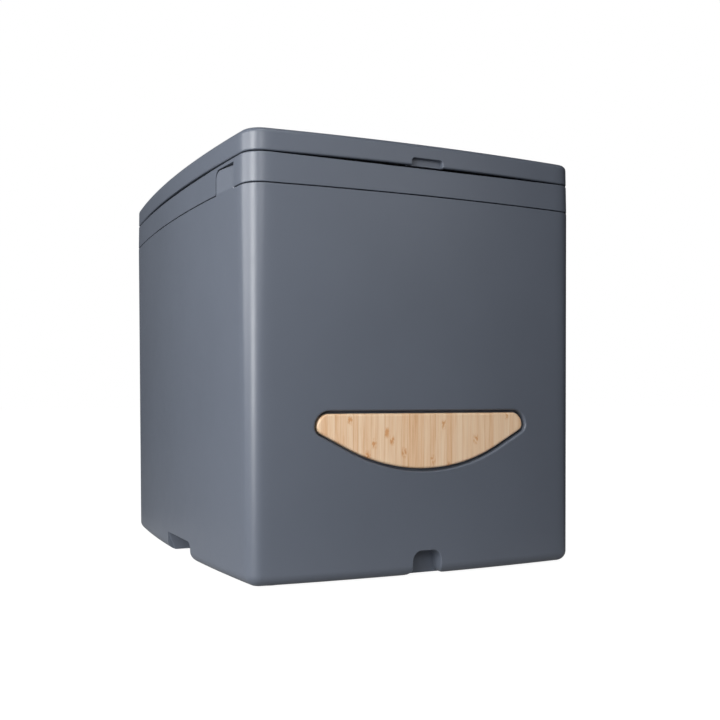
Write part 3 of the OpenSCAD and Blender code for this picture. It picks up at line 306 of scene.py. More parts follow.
def grip_outline(e, bottom):
    """Grip tab in y and z, with its top rear corner rounded."""
    y0, y1, top, r = GRIP_Y - e, GRIP_Y + GRIP_W + e, SEAM_Z + GRIP_H + e, 8.0
    return np.concatenate([[(y0, bottom), (y1, bottom)], arc((y1 - r, top - r), r, 0, 90, 8), [(y0, top)]])


def notch_outline():
    """Finger notch in the lid's front, in x and z."""
    w, top, r = 17.0, LID_Z + 7, 3.0
    low = LID_Z - 6
    return np.concatenate([[(-w, low), (w, low)], arc((w - r, top - r), r, 0, 90, 5),
                           arc((r - w, top - r), r, 90, 180, 5)])


# Places on the case's walls: points of a flat outline at a depth behind the wall
def wall_off(z):
    z = np.maximum(z, FOOT_STAND)
    rise = np.clip(1 - (z - FOOT_STAND) / BASE_FILLET, 0, 1)
    return np.where(z < SEAM_Z, body_off(z), 0) - BASE_FILLET * (1 - np.sqrt(1 - rise ** 2))


def on_front(points, depth):
    x, z = points[:, 0], points[:, 1]
    y = FRONT_Y - FRONT_CROWN * (1 - (x / CORE_X) ** 2) - wall_off(z) + depth
    return np.stack([x, y, z], 1)


def on_side(sign):
    def place(points, depth):
        y, z = points[:, 0], points[:, 1]
        x = CHORD_X + SIDE_CROWN * (1 - ((y - MID_Y) / CORE_Y) ** 2) + wall_off(z) - depth
        return np.stack([sign * x, y, z], 1)
    return place


def flat_x(x):
    return lambda points: np.stack([np.full(len(points), x), points[:, 0], points[:, 1]], 1)


def flat_y(y):
    return lambda points: np.stack([points[:, 0], np.full(len(points), y), points[:, 1]], 1)


def pocket(outline, place, outer, inner, edge):
    """Cutter for a pocket with a rounded rim: flat outside, following the wall at its rim, flat inside."""
    rings = [outer(grow(outline, edge))]
    for t in np.radians(np.linspace(0, 90, 7)):
        rings.append(place(grow(outline, edge * (1 - math.sin(t))), edge * (1 - math.cos(t))))
    rings.append(inner(outline))
    return loft("cutter", rings)


def prism(outline, put, a, b):
    return loft("prism", [put(a)(outline), put(b)(outline)])


def circle(x, z, r, n=64):
    return arc((x, z), r, 0, 360 - 360 / n, n - 1)


def rectangle(x0, z0, x1, z1):
    return np.array([(x0, z0), (x1, z0), (x1, z1), (x0, z1)], float)


def barrel_relief(x, z):
    """Block that clears one hinge barrel in the rear walls."""
    reach = HINGE_STAND - 0.4 + 0.6
    y = BACK_Y + HINGE_STAND - (HINGE_STAND - 0.4) - reach
    half = LEAF_W / 2 + 1.6
    return prism(rectangle(x - half, z - reach, x + half, z + reach), flat_y, y, BACK_Y + 20)


def oval(a, half, centre, z):
    """Points of an oval at height z and angles a."""
    x = centre[0] + half[0] * np.cos(a)
    y = centre[1] + half[1] * np.sin(a)
    return np.stack([x, y, np.full(len(a), z)], 1)


def revolve(name, profile, centre, a0=0, a1=360, steps=96):
    """Turned form about a vertical axis from a closed profile of radius and z."""
    whole = a1 - a0 == 360
    rings = []
    for a in np.radians(np.linspace(a0, a1, steps + (0 if whole else 1), endpoint=not whole)):
        r, z = np.array(profile, float).T
        rings.append(np.stack([centre[0] + r * math.cos(a), centre[1] + r * math.sin(a), z], 1))
    return loft(name, rings, closed=whole)


def eased(wall, normals):
    """Normals averaged along the wall, as where the corners blend into the sides."""
    step = np.linalg.norm(np.roll(wall, -1, 0) - wall, axis=1)
    along = np.cumsum(step) - step
    apart = np.abs(along[:, None] - along[None, :])
    near = np.minimum(apart, step.sum() - apart) < CORNER_BLEND
    mean = (near * step) @ normals
    return mean / np.linalg.norm(mean, axis=1)[:, None]


def wall_normals(obj, z0, z1, off, lean):
    """Corner normals taken from the true wall where a face lies on it."""
    dense = stations(0, 400, 90)
    wall = dense[:, :2] + CORNER_R * dense[:, 2:4] + (0, MID_Y)
    dense[:, 2:4] = eased(wall, dense[:, 2:4])
    tree = kdtree.KDTree(len(dense))
    for i in range(len(dense)):
        tree.insert((*wall[i], 0), i)
    tree.balance()
    mesh = obj.data
    normals = {}
    for v in mesh.vertices:
        x, y, z = v.co / MM
        if z0 - 0.01 <= z <= z1 + 0.01:
            point, i, _ = tree.find((x, y, 0))
            n = dense[i][2:4]
            if abs((x - point[0]) * n[0] + (y - point[1]) * n[1] - off(z)) < 0.06:
                normals[v.index] = Vector((n[0], n[1], -lean)).normalized()
    corner = [Vector((0, 0, 0))] * len(mesh.loops)
    for f in mesh.polygons:
        if all(v in normals for v in f.vertices) and f.normal.dot(normals[f.vertices[0]]) > 0.98:
            for k in f.loop_indices:
                corner[k] = normals[mesh.loops[k].vertex_index]
    mesh.normals_split_custom_set(corner)


# The case
def body_case():
    outer = [(FOOT_STAND, -30)]
    outer += [(FOOT_STAND + BASE_FILLET * (1 - math.cos(a)),
               body_off(FOOT_STAND + BASE_FILLET * (1 - math.cos(a))) - BASE_FILLET * (1 - math.sin(a)))
              for a in np.radians(np.linspace(0, 90, 13))]
    outer += [(z, body_off(z)) for z in np.linspace(FOOT_STAND + BASE_FILLET + 8, SEAM_Z, 30)]
    outer += [(SEAM_Z + 12, 0), (SEAM_Z + GRIP_H + 4, 0)]
    case = loft("body_case", [level(*v) for v in outer])

    inner = [(-1, -FLANGE_W), (FLANGE_TOP, -FLANGE_W), (FLANGE_TOP + 0.01, body_off(FLANGE_TOP) - WALL - 6),
             (FLANGE_TOP + 6, body_off(FLANGE_TOP + 6) - WALL), (180, body_off(180) - WALL),
             (SEAM_Z, -WALL), (SEAM_Z + 1, -WALL)]
    inner = loft("inner", [level(*v) for v in inner])
    bodies = []
    plate = grow(smile(), PANEL_GAP + WALL)
    rings = [flat_y(AHEAD)(plate)]
    rings += [on_front((plate - MIDDLE) * k + MIDDLE, RECESS + WALL) for k in INWARD]
    bodies.append(loft("block", rings))
    bodies.append(prism(grow(arch_outline(), WALL), flat_y, AHEAD, CROWN_Y + ARCH_DEPTH + WALL))
    for s in (-1, 1):
        bodies.append(prism(grow(hold_outline(), WALL), flat_x, s * (HOLD_X - WALL), s * 200))
        bodies.append(prism(rectangle(s * 120 - 12, 332, s * 120 + 12, 346), flat_y, AHEAD, FRONT_Y + 34))
        x = s * HOUSING_HINGE_X
        pad = rectangle(x - LEAF_W / 2, SEAM_Z - 18, x + LEAF_W / 2, SEAM_Z - 8)
        bodies.append(prism(pad, flat_y, BACK_Y - WALL - 3, BACK_Y + 10))
    carve(inner, join("inside", bodies))
    carve(case, inner)

    # Everything above the body's top but the two grip tabs
    top = [(-9, BODY_TOP)]
    top += [(-EDGE * (1 - math.cos(a)), BODY_TOP - EDGE * (1 - math.sin(a)))
            for a in np.radians(np.linspace(90, 0, 5))]
    top += [(3, BODY_TOP - EDGE), (3, SEAM_Z + 40)]
    above = loft("above", [level(z, off) for off, z in top])
    keeps = []
    for s in (-1, 1):
        rings = [flat_x(s * 200)(grip_outline(-EDGE, SEAM_Z - 8))]
        for t in np.radians(np.linspace(0, 90, 5)):
            shape = grip_outline(-EDGE * math.cos(t), SEAM_Z - 8)
            rings.append(on_side(s)(shape, EDGE * (1 - math.cos(t))))
        rings.append(on_side(s)(grip_outline(0, SEAM_Z - 8), TAB_T))
        keeps.append(loft("keep", rings))
    carve(above, join("keeps", keeps))
    carve(case, above)

    cuts = [pocket(hold_outline(), on_side(s), flat_x(s * 210), flat_x(s * HOLD_X), 1.0) for s in (-1, 1)]
    cuts += [barrel_relief(x, SEAM_Z) for x in (-HOUSING_HINGE_X, HOUSING_HINGE_X)]
    cuts.append(pocket(arch_outline(), on_front, flat_y(AHEAD), flat_y(CROWN_Y + ARCH_DEPTH), 1.0))
    hole = grow(smile(), PANEL_GAP)
    rim = 1.6
    rings = [flat_y(AHEAD)(grow(hole, rim))]
    for t in np.radians(np.linspace(0, 90, 7)):
        rings.append(on_front(grow(hole, rim * (1 - math.sin(t))), rim * (1 - math.cos(t))))
    rings += [on_front((hole - MIDDLE) * k + MIDDLE, RECESS) for k in INWARD]
    cuts.append(loft("recess", rings))
    cuts.append(prism(circle(0, FAN_Z, FAN_W / 2 - 3), flat_y, BACK_Y - 20, BACK_Y + 20))
    cuts.append(prism(circle(70, 90, 8.1, 40), flat_y, BACK_Y - 20, BACK_Y + 20))
    for s in (-1, 1):
        cuts.append(ramp(s))
    carve(case, join("cuts", cuts))
    shade(case)
    start, end = FOOT_STAND + BASE_FILLET, SEAM_Z + GRIP_H
    wall_normals(case, start, end, lambda z: body_off(min(z, SEAM_Z)), DRAFT)
    return case


def ramp(s):
    """Finger ramp cut into a grip tab, deepest at its front."""
    side = on_side(s)
    plan = []
    for y, depth in ((GRIP_Y - 3, GRIP_DEPTH), (GRIP_Y, GRIP_DEPTH), (GRIP_Y + GRIP_W - 2, 0)):
        plan.append(side(np.array([(y, SEAM_Z + 1)]), depth)[0][:2])
    plan += [(s * 200, GRIP_Y + GRIP_W - 2), (s * 200, GRIP_Y - 3)]
    levels = (SEAM_Z + 0.5, SEAM_Z + GRIP_H + 3)
    return loft("ramp", [np.array([(x, y, z) for x, y in plan]) for z in levels])


def housing_case():
    outer = [(HOUSING_Z + EDGE * (1 - math.sin(a)), -EDGE * (1 - math.cos(a)))
             for a in np.radians(np.linspace(90, 0, 4))]
    outer = [(*v, 0) for v in outer]
    outer += [(HOUSING_Z + 6 + (RIM_Z - HOUSING_Z - 7) * k, 0, RIM_DIP * k) for k in np.linspace(0, 1, 5)]
    outer += [(RIM_Z - 1 + math.sin(a), math.cos(a) - 1, RIM_DIP)
              for a in np.radians(np.linspace(0, 90, 6))[1:]]
    outer += [(RIM_Z, 1.5 - RIM_W, RIM_DIP), (RIM_Z - 0.5, 1 - RIM_W, RIM_DIP),
              (DECK_Z + 0.8, -RIM_W + 0.1), (DECK_Z, -RIM_W - 0.7)]
    case = loft("housing_case", [level(*v) for v in outer])
    inner = [(HOUSING_Z - 1, -3), (HOUSING_Z + 8, -3), (DECK_LOW - 3, 1 - RIM_W), (DECK_LOW, -1 - RIM_W)]
    carve(case, loft("inner", [level(*v) for v in inner]))
    a = np.radians(np.arange(0, 360, 2.5))
    hole = [oval(a, (SEAT_IN[0] + e, SEAT_IN[1] + e), (0, BOWL_Y), z)
            for z, e in ((DECK_LOW - 2, 0), (DECK_Z - 1, 0), (DECK_Z + 2, 3))]
    cuts = [loft("opening", hole)]
    for s in (-1, 1):
        notch = grip_outline(GRIP_GAP, SEAM_Z - 5)
        side = on_side(s)
        cuts.append(loft("notch", [flat_x(s * 210)(notch), side(notch, TAB_T + 0.6)]))
        cuts.append(barrel_relief(s * HOUSING_HINGE_X, SEAM_Z))
        cuts.append(barrel_relief(s * LID_HINGE_X, LID_HINGE_Z))
    carve(case, join("cuts", cuts))
    button = [oval(a, (13.5, 13.5), BUTTON, z) for z in (DECK_LOW - 1, DECK_Z + 1)]
    carve(case, loft("button_hole", button))
    parts = [case]
    r0, z0, z1 = CHUTE_FLANGE_R + 1, CHUTE_FLANGE_Z - 2.8, DECK_LOW + 1
    section = [(r0 - 6, z0), (r0 + 5, z0), (r0 + 5, z1), (r0, z1), (r0, z0 + 2.5), (r0 - 6, z0 + 2.5)]
    for k in range(4):
        parts.append(revolve("hook", section, (0, BOWL_Y), 39 + 90 * k, 51 + 90 * k, 12))
    for s in (-1, 1):
        boss = [(2.05, CATCH_Z + 2), (7, CATCH_Z + 2), (7, DECK_LOW + 1), (2.05, DECK_LOW + 1)]
        parts.append(revolve("boss", boss, (s * 120, FRONT_Y + 22), steps=40))
    case = join("housing_case", parts)
    shade(case)
    wall_normals(case, HOUSING_Z + EDGE, RIM_Z - 1, lambda z: 0, 0)
    return case


def lid_case():
    outer = [(LID_Z + 1.5 * (1 - math.sin(a)), -1.5 * (1 - math.cos(a)))
             for a in np.radians(np.linspace(90, 0, 6))]
    outer += [(z, 0) for z in np.linspace(LID_Z + 3, LID_TOP - LID_FILLET - 1, 4)]
    outer += [(LID_TOP - LID_FILLET * (1 - math.sin(a)), -LID_FILLET * (1 - math.cos(a)))
              for a in np.radians(np.linspace(0, 90, 11))]
    rings = [level(*v) for v in outer]
    rings += [level(LID_TOP + LID_DOME * (1 - k * k), -LID_FILLET, 0, k) for k in TO_MIDDLE]
    case = loft("lid_case", rings)
    inner = [(LID_Z - 1, -3), (LID_TOP - LID_FILLET, -3), (LID_TOP - 4, -4.2), (LID_TOP - 3, -6)]
    hollow = loft("inner", [level(*v) for v in inner])
    notch = notch_outline()
    carve(hollow, prism(grow(notch, 3), flat_y, AHEAD - 20, CROWN_Y + NOTCH_DEPTH + 3))
    carve(case, hollow)
    cuts = [pocket(notch, on_front, flat_y(AHEAD), flat_y(CROWN_Y + NOTCH_DEPTH), 0.8)]
    cuts += [barrel_relief(s * LID_HINGE_X, LID_HINGE_Z) for s in (-1, 1)]
    carve(case, join("cuts", cuts))
    shade(case)
    wall_normals(case, LID_Z + 1.5, LID_TOP - LID_FILLET, lambda z: 0, 0)
    return case


def bamboo_plate():
    """Bamboo plate with a rounded rim, following the crowned front."""
    shape = smile()
    front = RECESS - PANEL_T
    r = 2.2
    rings = [on_front((shape - MIDDLE) * k + MIDDLE, RECESS - 0.2) for k in (0.05, 0.3, 0.6, 0.85)]
    rings += [on_front(shape, RECESS - 0.2), on_front(shape, front + r)]
    rings += [on_front(grow(shape, -r * (1 - math.cos(t))), front + r * (1 - math.sin(t)))
              for t in np.radians(np.linspace(0, 90, 8))[1:]]
    face = grow(shape, -r)
    rings += [on_front((face - MIDDLE) * k + MIDDLE, front) for k in TO_MIDDLE]
    plate = loft("bamboo_plate", rings)
    shade(plate, 40)
    return plate


def seat_form():
    """Seat ring from the same section as the part, smoothed."""
    section = [(0.04, 0), (0.96, 0), (1, 0.1), (1, 0.5), (0.97, 0.75), (0.9, 0.92), (0.78, 1), (0.6, 1),
               (0.4, 0.94), (0.2, 0.8), (0.06, 0.58), (0, 0.3)]
    fine = through(np.array(section), 5, closed=True)
    fine = np.clip(fine, (0, 0), (1, 1))
    rings = []
    for a in np.radians(np.arange(0, 360, 2)):
        x = SEAT_IN[0] + (SEAT_OUT[0] - SEAT_IN[0]) * fine[:, 0]
        y = SEAT_IN[1] + (SEAT_OUT[1] - SEAT_IN[1]) * fine[:, 0]
        z = DECK_Z + SEAT_H * fine[:, 1]
        rings.append(np.stack([x * math.cos(a), BOWL_Y + y * math.sin(a), z], 1))
    seat = loft("seat_form", rings, closed=True)
    shade(seat, 50)
    return seat


def through(points, steps, closed=False):
    """Smooth curve through points, steps to each span."""
    n = len(points)
    rows = []
    for i in range(n if closed else n - 1):
        pick = (lambda k: points[k % n]) if closed else (lambda k: points[min(max(k, 0), n - 1)])
        a, b, c, d = pick(i - 1), pick(i), pick(i + 1), pick(i + 2)
        for t in np.linspace(0, 1, steps, endpoint=False):
            rows.append(0.5 * (2 * b + (c - a) * t + (2 * a - 5 * b + 4 * c - d) * t ** 2
                               + (3 * b - a - 3 * c + d) * t ** 3))
    if not closed:
        rows.append(points[-1])
    return np.array(rows)


def tube(name, path, r, sides=12):
    """Round tube along a path."""
    rings = []
    up = np.array((0.31, 0.95, 0.07))
    for i, p in enumerate(path):
        along = path[min(i + 1, len(path) - 1)] - path[max(i - 1, 0)]
        u = np.cross(along, up)
        u /= np.linalg.norm(u)
        v = np.cross(along, u)
        v /= np.linalg.norm(v)
        turn = np.linspace(0, 2 * math.pi, sides, endpoint=False)
        rings.append(p + r * (np.cos(turn)[:, None] * u + np.sin(turn)[:, None] * v))
    return loft(name, rings)


WIRES = [
    [(40.9, 198, 266), (47, 198, 262), (54, 194, 246), (60, 190, 225), (60, 190, 205)],
    [(80, 190, 125), (80, 188, 112), (90, 174, 84), (99, 150, 50), (97, 128, 24), (90, 122, 20.2),
     (85.6, 122, 20.2)],
    [(60, 190, 125), (60, 186, 114), (63, 174, 102), (68, 168, 93), (70, 174, 90.5), (70, 184.5, 90.5)],
    [(50, 190, 125), (46, 186, 112), (28, 180, 98), (0, 176, 90), (-40, 166, 86), (-58, 154, 82),
     (-62, 150, 70)],
    [(90, 190, 205), (90, 192, 250), (91, 194, 300), (90, 194, 337.6)],
]


def loom():
    """Wires as smooth tubes along the part's own routes."""
    tubes = [tube("wire", through(np.array(w, float), 10), 1.6) for w in WIRES]
    wires = join("loom_wires", tubes)
    shade(wires, 60)
    return wires


def spring():
    """Coil spring under the button."""
    turns, wire_r, coil_r = 6, 0.65, 5.2
    z0, z1 = SPRING_Z[0] + wire_r, SPRING_Z[1] - wire_r
    a = np.linspace(0, turns * 2 * math.pi, turns * 24 + 1)
    share = np.clip((a / a[-1] - 0.12) / 0.76, 0, 1)
    path = oval(a, (coil_r, coil_r), BUTTON, 0)
    path[:, 2] = z0 + (z1 - z0) * share
    turn = np.linspace(0, 2 * math.pi, 10, endpoint=False)
    rings = []
    for p, t in zip(path, a):
        out = wire_r * np.cos(turn)
        rings.append(p + np.stack([out * math.cos(t), out * math.sin(t), wire_r * np.sin(turn)], 1))
    coil = loft("spring_coil", rings)
    shade(coil, 60)
    return coil


def liner():
    """Liner film: folded stock in the cassette, the sleeve down the chute, drawn in to a twisted tail."""
    stock_in, stock_out = 131.0, 145.5
    top = CASSETTE_TOP - 5
    path = [(139, top), (133, top + 1.0), (126.4, top + 0.6), (125.3, top - 1), (125.3, 365),
            (125.2, 356.5), (122.5, 353.6), (119.2, 351.7), (106, 335), (92, 317), (79, 300),
            (64, 283.5), (52, 279), (40, 276), (28, 272.5), (17, 268.5), (8, 265.5), (3.5, 263),
            (2.5, 260), (6, 255.5), (11.5, 251), (14, 248)]
    fine = through(np.array(path, float), 6)
    around = np.linspace(0, 2 * math.pi, 288, endpoint=False)
    rings = []
    for r, z in fine:
        drawn = np.clip((284 - z) / 20, 0, 1)
        twist = 1.4 * drawn
        wave = np.sin(around * 30 + twist * 3 + 0.5 * np.sin(around * 7))
        ruffle = (0.25 + 1.8 * drawn) * min(1.0, r / 40) * wave
        ruffle += drawn * min(0.9, r / 9) * np.sin(around * 11 + 2)
        inward = -abs(ruffle) - 0.15
        reach = r + (inward if z > 262 else ruffle * 0.8)
        rings.append(oval(around + twist, (reach, reach), (0, BOWL_Y), z))
    sleeve = loft("sleeve", rings, caps=False)
    solid = sleeve.modifiers.new("film", "SOLIDIFY")
    solid.thickness = 0.3 * MM
    solid.offset = 0
    apply_modifiers(sleeve)
    levels = np.linspace(CASSETTE_TOP - 28 + 2.8, top - 0.6, 25)
    fold = np.where(np.arange(len(levels)) % 2, 0.0, 1.6)
    outside = np.stack([stock_out - fold, levels], 1)
    inside = np.stack([stock_in + fold, levels], 1)
    stock = revolve("stock", np.concatenate([outside, inside[::-1]]), (0, BOWL_Y), steps=144)
    film = join("liner_sleeve", [sleeve, stock])
    shade(film, 40)
    return film


# Materials, with their lengths in metres
PAINTED_SHADE_REACH = 0.0028
STRIP_W = 0.0062


def new_material(name):
    material = bpy.data.materials.new(name)
    material.use_nodes = True
    tree = material.node_tree
    return material, tree, tree.nodes["Principled BSDF"]


def add(tree, kind, inputs=None, **settings):
    node = tree.nodes.new(kind)
    for key, value in settings.items():
        setattr(node, key, value)
    for key, value in (inputs or {}).items():
        if isinstance(value, bpy.types.NodeSocket):
            tree.links.new(value, node.inputs[key])
        else:
            node.inputs[key].default_value = value
    return node


def place(tree, scale=(1, 1, 1)):
    """Object coordinates in metres, stretched by scale."""
    at = add(tree, "ShaderNodeTexCoord")
    inputs = {"Vector": at.outputs["Object"], "Scale": scale}
    return add(tree, "ShaderNodeMapping", inputs).outputs["Vector"]


def noise(tree, where, scale, detail=2.0, rough=0.5):
    return add(tree, "ShaderNodeTexNoise", {"Vector": where, "Scale": scale, "Detail": detail,
                                            "Roughness": rough}).outputs["Fac"]


def ramp_of(tree, value, stops):
    """Colour ramp from (place, colour) stops."""
    node = add(tree, "ShaderNodeValToRGB", {"Fac": value})
    band = node.color_ramp
    while len(band.elements) < len(stops):
        band.elements.new(0.5)
    for element, (spot, colour) in zip(band.elements, stops):
        element.position = spot
        element.color = (*colour, 1)
    return node.outputs["Color"]


def span(tree, value, low, high, start=0.0, end=1.0):
    """Value from start to end taken to low to high."""
    inputs = {"Value": value, "From Min": start, "From Max": end, "To Min": low, "To Max": high}
    return add(tree, "ShaderNodeMapRange", inputs).outputs["Result"]


def calc(tree, operation, *values):
    return add(tree, "ShaderNodeMath", dict(enumerate(values)), operation=operation).outputs[0]


def bump(tree, shader, height, distance, strength=1.0, normal=None):
    inputs = {"Height": height, "Distance": distance, "Strength": strength}
    if normal is not None:
        inputs["Normal"] = normal
    node = add(tree, "ShaderNodeBump", inputs)
    tree.links.new(node.outputs["Normal"], shader.inputs["Normal"])
    return node.outputs["Normal"]


def srgb(*values):
    return tuple(v / 255 / 12.92 if v < 11 else ((v / 255 + 0.055) / 1.055) ** 2.4 for v in values)


def shades(colour, spread):
    return tuple(c * (1 - spread) for c in colour), tuple(min(1, c * (1 + spread)) for c in colour)


def moulded(name, colour, rough=0.42, grain=0.00003, spread=0.05):
    """Moulded plastic: slow drift of tone, fine eroded grain, uneven gloss, and painted shade that darkens
    the colour and gloss in narrow gaps.
    """
    material, tree, shader = new_material(name)
    where = place(tree)
    dark, light = shades(colour, spread)
    tone = ramp_of(tree, noise(tree, where, 9, 3), [(0.3, dark), (0.7, light)])
    # Painted shade: ambient occlusion over a few millimetres darkens the base colour and dims the specular
    # in narrow gaps, seams and recesses.
    sky = add(tree, "ShaderNodeAmbientOcclusion", {"Distance": PAINTED_SHADE_REACH}, samples=8).outputs["AO"]
    free = span(tree, sky, 0.02, 1.0, 0.1, 0.34)
    tone = add(tree, "ShaderNodeVectorMath", {0: tone, "Scale": free}, operation="SCALE").outputs["Vector"]
    tree.links.new(tone, shader.inputs["Base Color"])
    tree.links.new(calc(tree, "MULTIPLY", free, 0.5), shader.inputs["Specular IOR Level"])
    uneven = span(tree, noise(tree, where, 60, 3), rough - 0.04, rough + 0.04)
    tree.links.new(uneven, shader.inputs["Roughness"])
    bump(tree, shader, noise(tree, where, 1500, 2, 0.6), grain)
    return material


def bamboo():
    """Laminated bamboo: narrow upright strips, fine fibres, and blotchy brown knots in some strips."""
    material, tree, shader = new_material("bamboo")
    where = place(tree)
    at = add(tree, "ShaderNodeSeparateXYZ", {"Vector": where}).outputs
    shift = noise(tree, place(tree, (35, 0, 0)), 1.0, 1)
    strip = calc(tree, "MULTIPLY_ADD", at["X"], 1 / STRIP_W, shift)
    across = calc(tree, "FRACT", strip)
    chance = add(tree, "ShaderNodeTexWhiteNoise", {"W": calc(tree, "FLOOR", strip)}, noise_dimensions="1D")
    picks = add(tree, "ShaderNodeSeparateXYZ", {"Vector": chance.outputs["Color"]}).outputs

    fibre = noise(tree, place(tree, (1300, 1300, 14)), 1.0, 4, 0.7)
    streak = noise(tree, place(tree, (380, 380, 9)), 1.0, 2, 0.5)
    tone = calc(tree, "MULTIPLY", chance.outputs["Value"], 0.2)
    tone = calc(tree, "MULTIPLY_ADD", fibre, 0.65, tone)
    tone = calc(tree, "MULTIPLY_ADD", streak, 0.5, tone)
    base = ramp_of(tree, tone, [(0.4, srgb(206, 155, 110)), (0.58, srgb(224, 186, 149)),
                                (0.75, srgb(232, 202, 170)), (0.95, srgb(238, 214, 188))])

    # A faint line at each joint, and a knot at one height in some of the strips
    edge = span(tree, across, 0.88, 1.0, 0.0, 0.09)
    knot_z = span(tree, picks["X"], PANEL_BOTTOM * MM, PANEL_TOP * MM)
    rise = calc(tree, "ABSOLUTE", calc(tree, "SUBTRACT", at["Z"], knot_z))
    near = span(tree, rise, 1.0, 0.0, 0.0, 0.006)
    held = calc(tree, "GREATER_THAN", picks["Y"], 0.6)
    inside = calc(tree, "SINE", calc(tree, "MULTIPLY", across, math.pi))
    fleck = span(tree, noise(tree, place(tree, (520, 520, 260)), 1.0, 3, 0.6), 0.0, 1.0, 0.4, 0.6)
    knot = calc(tree, "MULTIPLY", calc(tree, "MULTIPLY", near, held), calc(tree, "MULTIPLY", inside, fleck))
    brown = ramp_of(tree, knot, [(0.0, (1, 1, 1)), (0.55, (0.8, 0.56, 0.36))])
    base = add(tree, "ShaderNodeVectorMath", {0: base, 1: brown}, operation="MULTIPLY").outputs["Vector"]
    base = add(tree, "ShaderNodeVectorMath", {0: base, "Scale": edge}, operation="SCALE").outputs["Vector"]
    tree.links.new(base, shader.inputs["Base Color"])
    tree.links.new(span(tree, fibre, 0.28, 0.42), shader.inputs["Roughness"])
    bump(tree, shader, fibre, 0.00003)
    return material


def rubber():
    material, tree, shader = new_material("rubber")
    where = place(tree)
    dark, light = shades(srgb(34, 34, 37), 0.25)
    tone = ramp_of(tree, noise(tree, where, 120, 3), [(0.3, dark), (0.7, light)])
    tree.links.new(tone, shader.inputs["Base Color"])
    tree.links.new(span(tree, noise(tree, where, 300, 2), 0.62, 0.78), shader.inputs["Roughness"])
    bump(tree, shader, noise(tree, where, 2200, 2), 0.00004)
    return material


def steel():
    """Brushed steel with fine lines along X."""
    material, tree, shader = new_material("steel")
    lines = noise(tree, place(tree, (60, 2600, 2600)), 1.0, 3, 0.6)
    tree.links.new(ramp_of(tree, lines, [(0.3, srgb(168, 170, 174)), (0.7, srgb(205, 207, 210))]),
                   shader.inputs["Base Color"])
    shader.inputs["Metallic"].default_value = 1.0
    tree.links.new(span(tree, lines, 0.24, 0.4), shader.inputs["Roughness"])
    bump(tree, shader, lines, 0.00001)
    return material


def film():
    """Thin milky liner film with fine crinkles."""
    material, tree, shader = new_material("film")
    where = place(tree)
    crinkle = noise(tree, where, 180, 5, 0.6)
    tree.links.new(ramp_of(tree, crinkle, [(0.3, srgb(188, 193, 200)), (0.75, srgb(222, 226, 231))]),
                   shader.inputs["Base Color"])
    tree.links.new(span(tree, crinkle, 0.22, 0.4), shader.inputs["Roughness"])
    bump(tree, shader, crinkle, 0.0006, 0.6)
    return material


def board():
    """Circuit board: green mask over a faint net of tracks."""
    material, tree, shader = new_material("board")
    where = place(tree)
    cells = add(tree, "ShaderNodeTexVoronoi", {"Vector": where, "Scale": 160.0}, distance="MANHATTAN")
    tone = ramp_of(tree, cells.outputs["Distance"], [(0.1, srgb(46, 120, 74)), (0.45, srgb(22, 84, 48))])
    tree.links.new(tone, shader.inputs["Base Color"])
    tree.links.new(span(tree, noise(tree, where, 400), 0.3, 0.45), shader.inputs["Roughness"])
    bump(tree, shader, cells.outputs["Distance"], 0.00005)
    return material


BODY_GREY = srgb(91, 97, 108)
LOOKS = {
    "body_plastic": moulded("body_plastic", BODY_GREY, 0.33, 0.00002, 0.03),
    "dark_plastic": moulded("dark_plastic", srgb(38, 39, 42), 0.5, 0.00003, 0.12),
    "nylon": moulded("nylon", srgb(226, 226, 221), 0.45, 0.00002, 0.03),
    "bamboo": bamboo(),
    "rubber": rubber(),
    "steel": steel(),
    "film": film(),
    "board": board(),
}


def dress(obj, slot):
    obj.data.materials.clear()
    obj.data.materials.append(LOOKS[slot])


# Dressed pieces in place of their nodes
def stand_for(piece, node, body, slot):
    dress(piece, slot)
    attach(piece, body)
    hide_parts(node)


stand_for(body_case(), "body_shell", "body", "body_plastic")
stand_for(bamboo_plate(), "bamboo_panel", "body", "bamboo")
stand_for(housing_case(), "seat_housing", "seat_housing_group", "body_plastic")
stand_for(seat_form(), "seat_ring", "seat_housing_group", "body_plastic")
stand_for(lid_case(), "lid_shell", "lid", "body_plastic")
stand_for(liner(), "liner_film", "seat_housing_group", "film")
stand_for(loom(), "wiring_loom", "body", "rubber")
coil = spring()
stand_for(coil, "button_spring", "seat_housing_group", "steel")
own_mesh(coil)

SLOT_OF = {part["node"]: part["material_slot"] for part in frame["record"]["subparts"]}
for name, obj in nodes.items():
    for holder in obj.material_slots:
        holder.material = LOOKS[SLOT_OF[name]]


# Studio
def stage_floor():
    """White floor that keeps the object's shadow and fades into the backdrop."""
    mesh = bpy.data.meshes.new("floor")
    half = 12.0
    corners = [(-half, -half, 0), (half, -half, 0), (half, half, 0), (-half, half, 0)]
    mesh.from_pydata(corners, [], [(0, 1, 2, 3)])
    floor = bpy.data.objects.new("floor", mesh)
    bpy.context.scene.collection.objects.link(floor)
    material, tree, shader = new_material("floor")
    shader.inputs["Base Color"].default_value = (0.16, 0.16, 0.16, 1)
    shader.inputs["Roughness"].default_value = 0.9
    shader.inputs["Specular IOR Level"].default_value = 0.1
    shader.inputs["Emission Color"].default_value = (1, 1, 1, 1)
    away = add(tree, "ShaderNodeVectorMath", {0: place(tree)}, operation="LENGTH").outputs["Value"]
    level_up = span(tree, away, FLOOR_GLOW, 1.0, 0.5, 2.0)
    close = span(tree, away, FLOOR_BOUNCE, 0.0, 0.26, 0.44)
    seen = add(tree, "ShaderNodeLightPath").outputs["Is Camera Ray"]
    glow = add(tree, "ShaderNodeMix", {"Factor": seen, "A": close, "B": level_up}, data_type="FLOAT")
    tree.links.new(glow.outputs["Result"], shader.inputs["Emission Strength"])
    mesh.materials.append(material)


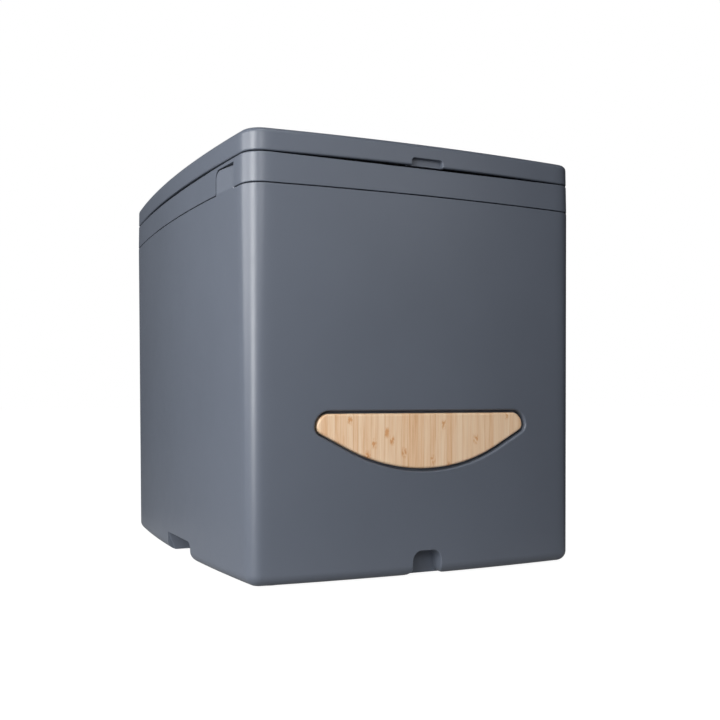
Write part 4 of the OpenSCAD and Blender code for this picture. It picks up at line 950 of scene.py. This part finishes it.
def stage_world():
    world = bpy.data.worlds.new("studio")
    bpy.context.scene.world = world
    world.use_nodes = True
    tree = world.node_tree
    background = tree.nodes["Background"]
    background.inputs["Color"].default_value = (1, 1, 1, 1)
    seen = add(tree, "ShaderNodeLightPath").outputs["Is Camera Ray"]
    tree.links.new(span(tree, seen, WORLD_LIGHT, 1.0), background.inputs["Strength"])


# Soft boxes: name, place, aim, width and height in metres, power in watts
STUDIO = [
    ("left_box", (-1.75, -1.5, 0.8), (0, 0, 0.2), 1.1, 1.6, 22),
    ("left_near", (-1.1, -0.7, 0.48), (0, 0, 0.15), 0.4, 0.95, 10),
    ("left_far", (-2.15, 0.2, 0.75), (0, 0, 0.2), 1.9, 0.9, 27),
    ("front_near", (-0.5, -1.5, 0.8), (0, 0, 0.2), 0.5, 0.6, 4.2),
    ("front_right", (0.93, -2.0, 1.1), (0, 0, 0.2), 1.0, 1.2, 3.0),
    ("top_box", (-0.2, -1.0, 1.7), (0, -0.1, 0.2), 0.8, 0.6, 5),
    ("back_box", (1.4, 2.2, 1.4), (0, 0, 0.2), 1.2, 1.2, 18),
]


def area_light(name, at, towards, width, height, power):
    light = bpy.data.lights.new(name, "AREA")
    light.shape = "RECTANGLE"
    light.size = width
    light.size_y = height
    light.energy = power
    obj = bpy.data.objects.new(name, light)
    obj.location = at
    obj.rotation_euler = (Vector(towards) - Vector(at)).to_track_quat("-Z", "Y").to_euler()
    bpy.context.scene.collection.objects.link(obj)


def stage_camera():
    camera = bpy.data.cameras.new("camera")
    camera.sensor_width = 36.0
    camera.lens = 36.0 * CAMERA_FOCAL / PHOTO
    camera.shift_x = (PHOTO / 2 - CAMERA_CENTRE[0]) / PHOTO
    camera.shift_y = (CAMERA_CENTRE[1] - PHOTO / 2) / PHOTO
    obj = bpy.data.objects.new("camera", camera)
    obj.location = CAMERA_AT
    obj.rotation_euler = (math.radians(90 + CAMERA_PITCH), 0, math.radians(-CAMERA_YAW))
    bpy.context.scene.collection.objects.link(obj)
    bpy.context.scene.camera = obj


stage_floor()
stage_world()
stage_camera()
for light in STUDIO:
    area_light(*light)
bpy.context.scene.view_settings.view_transform = "Standard"
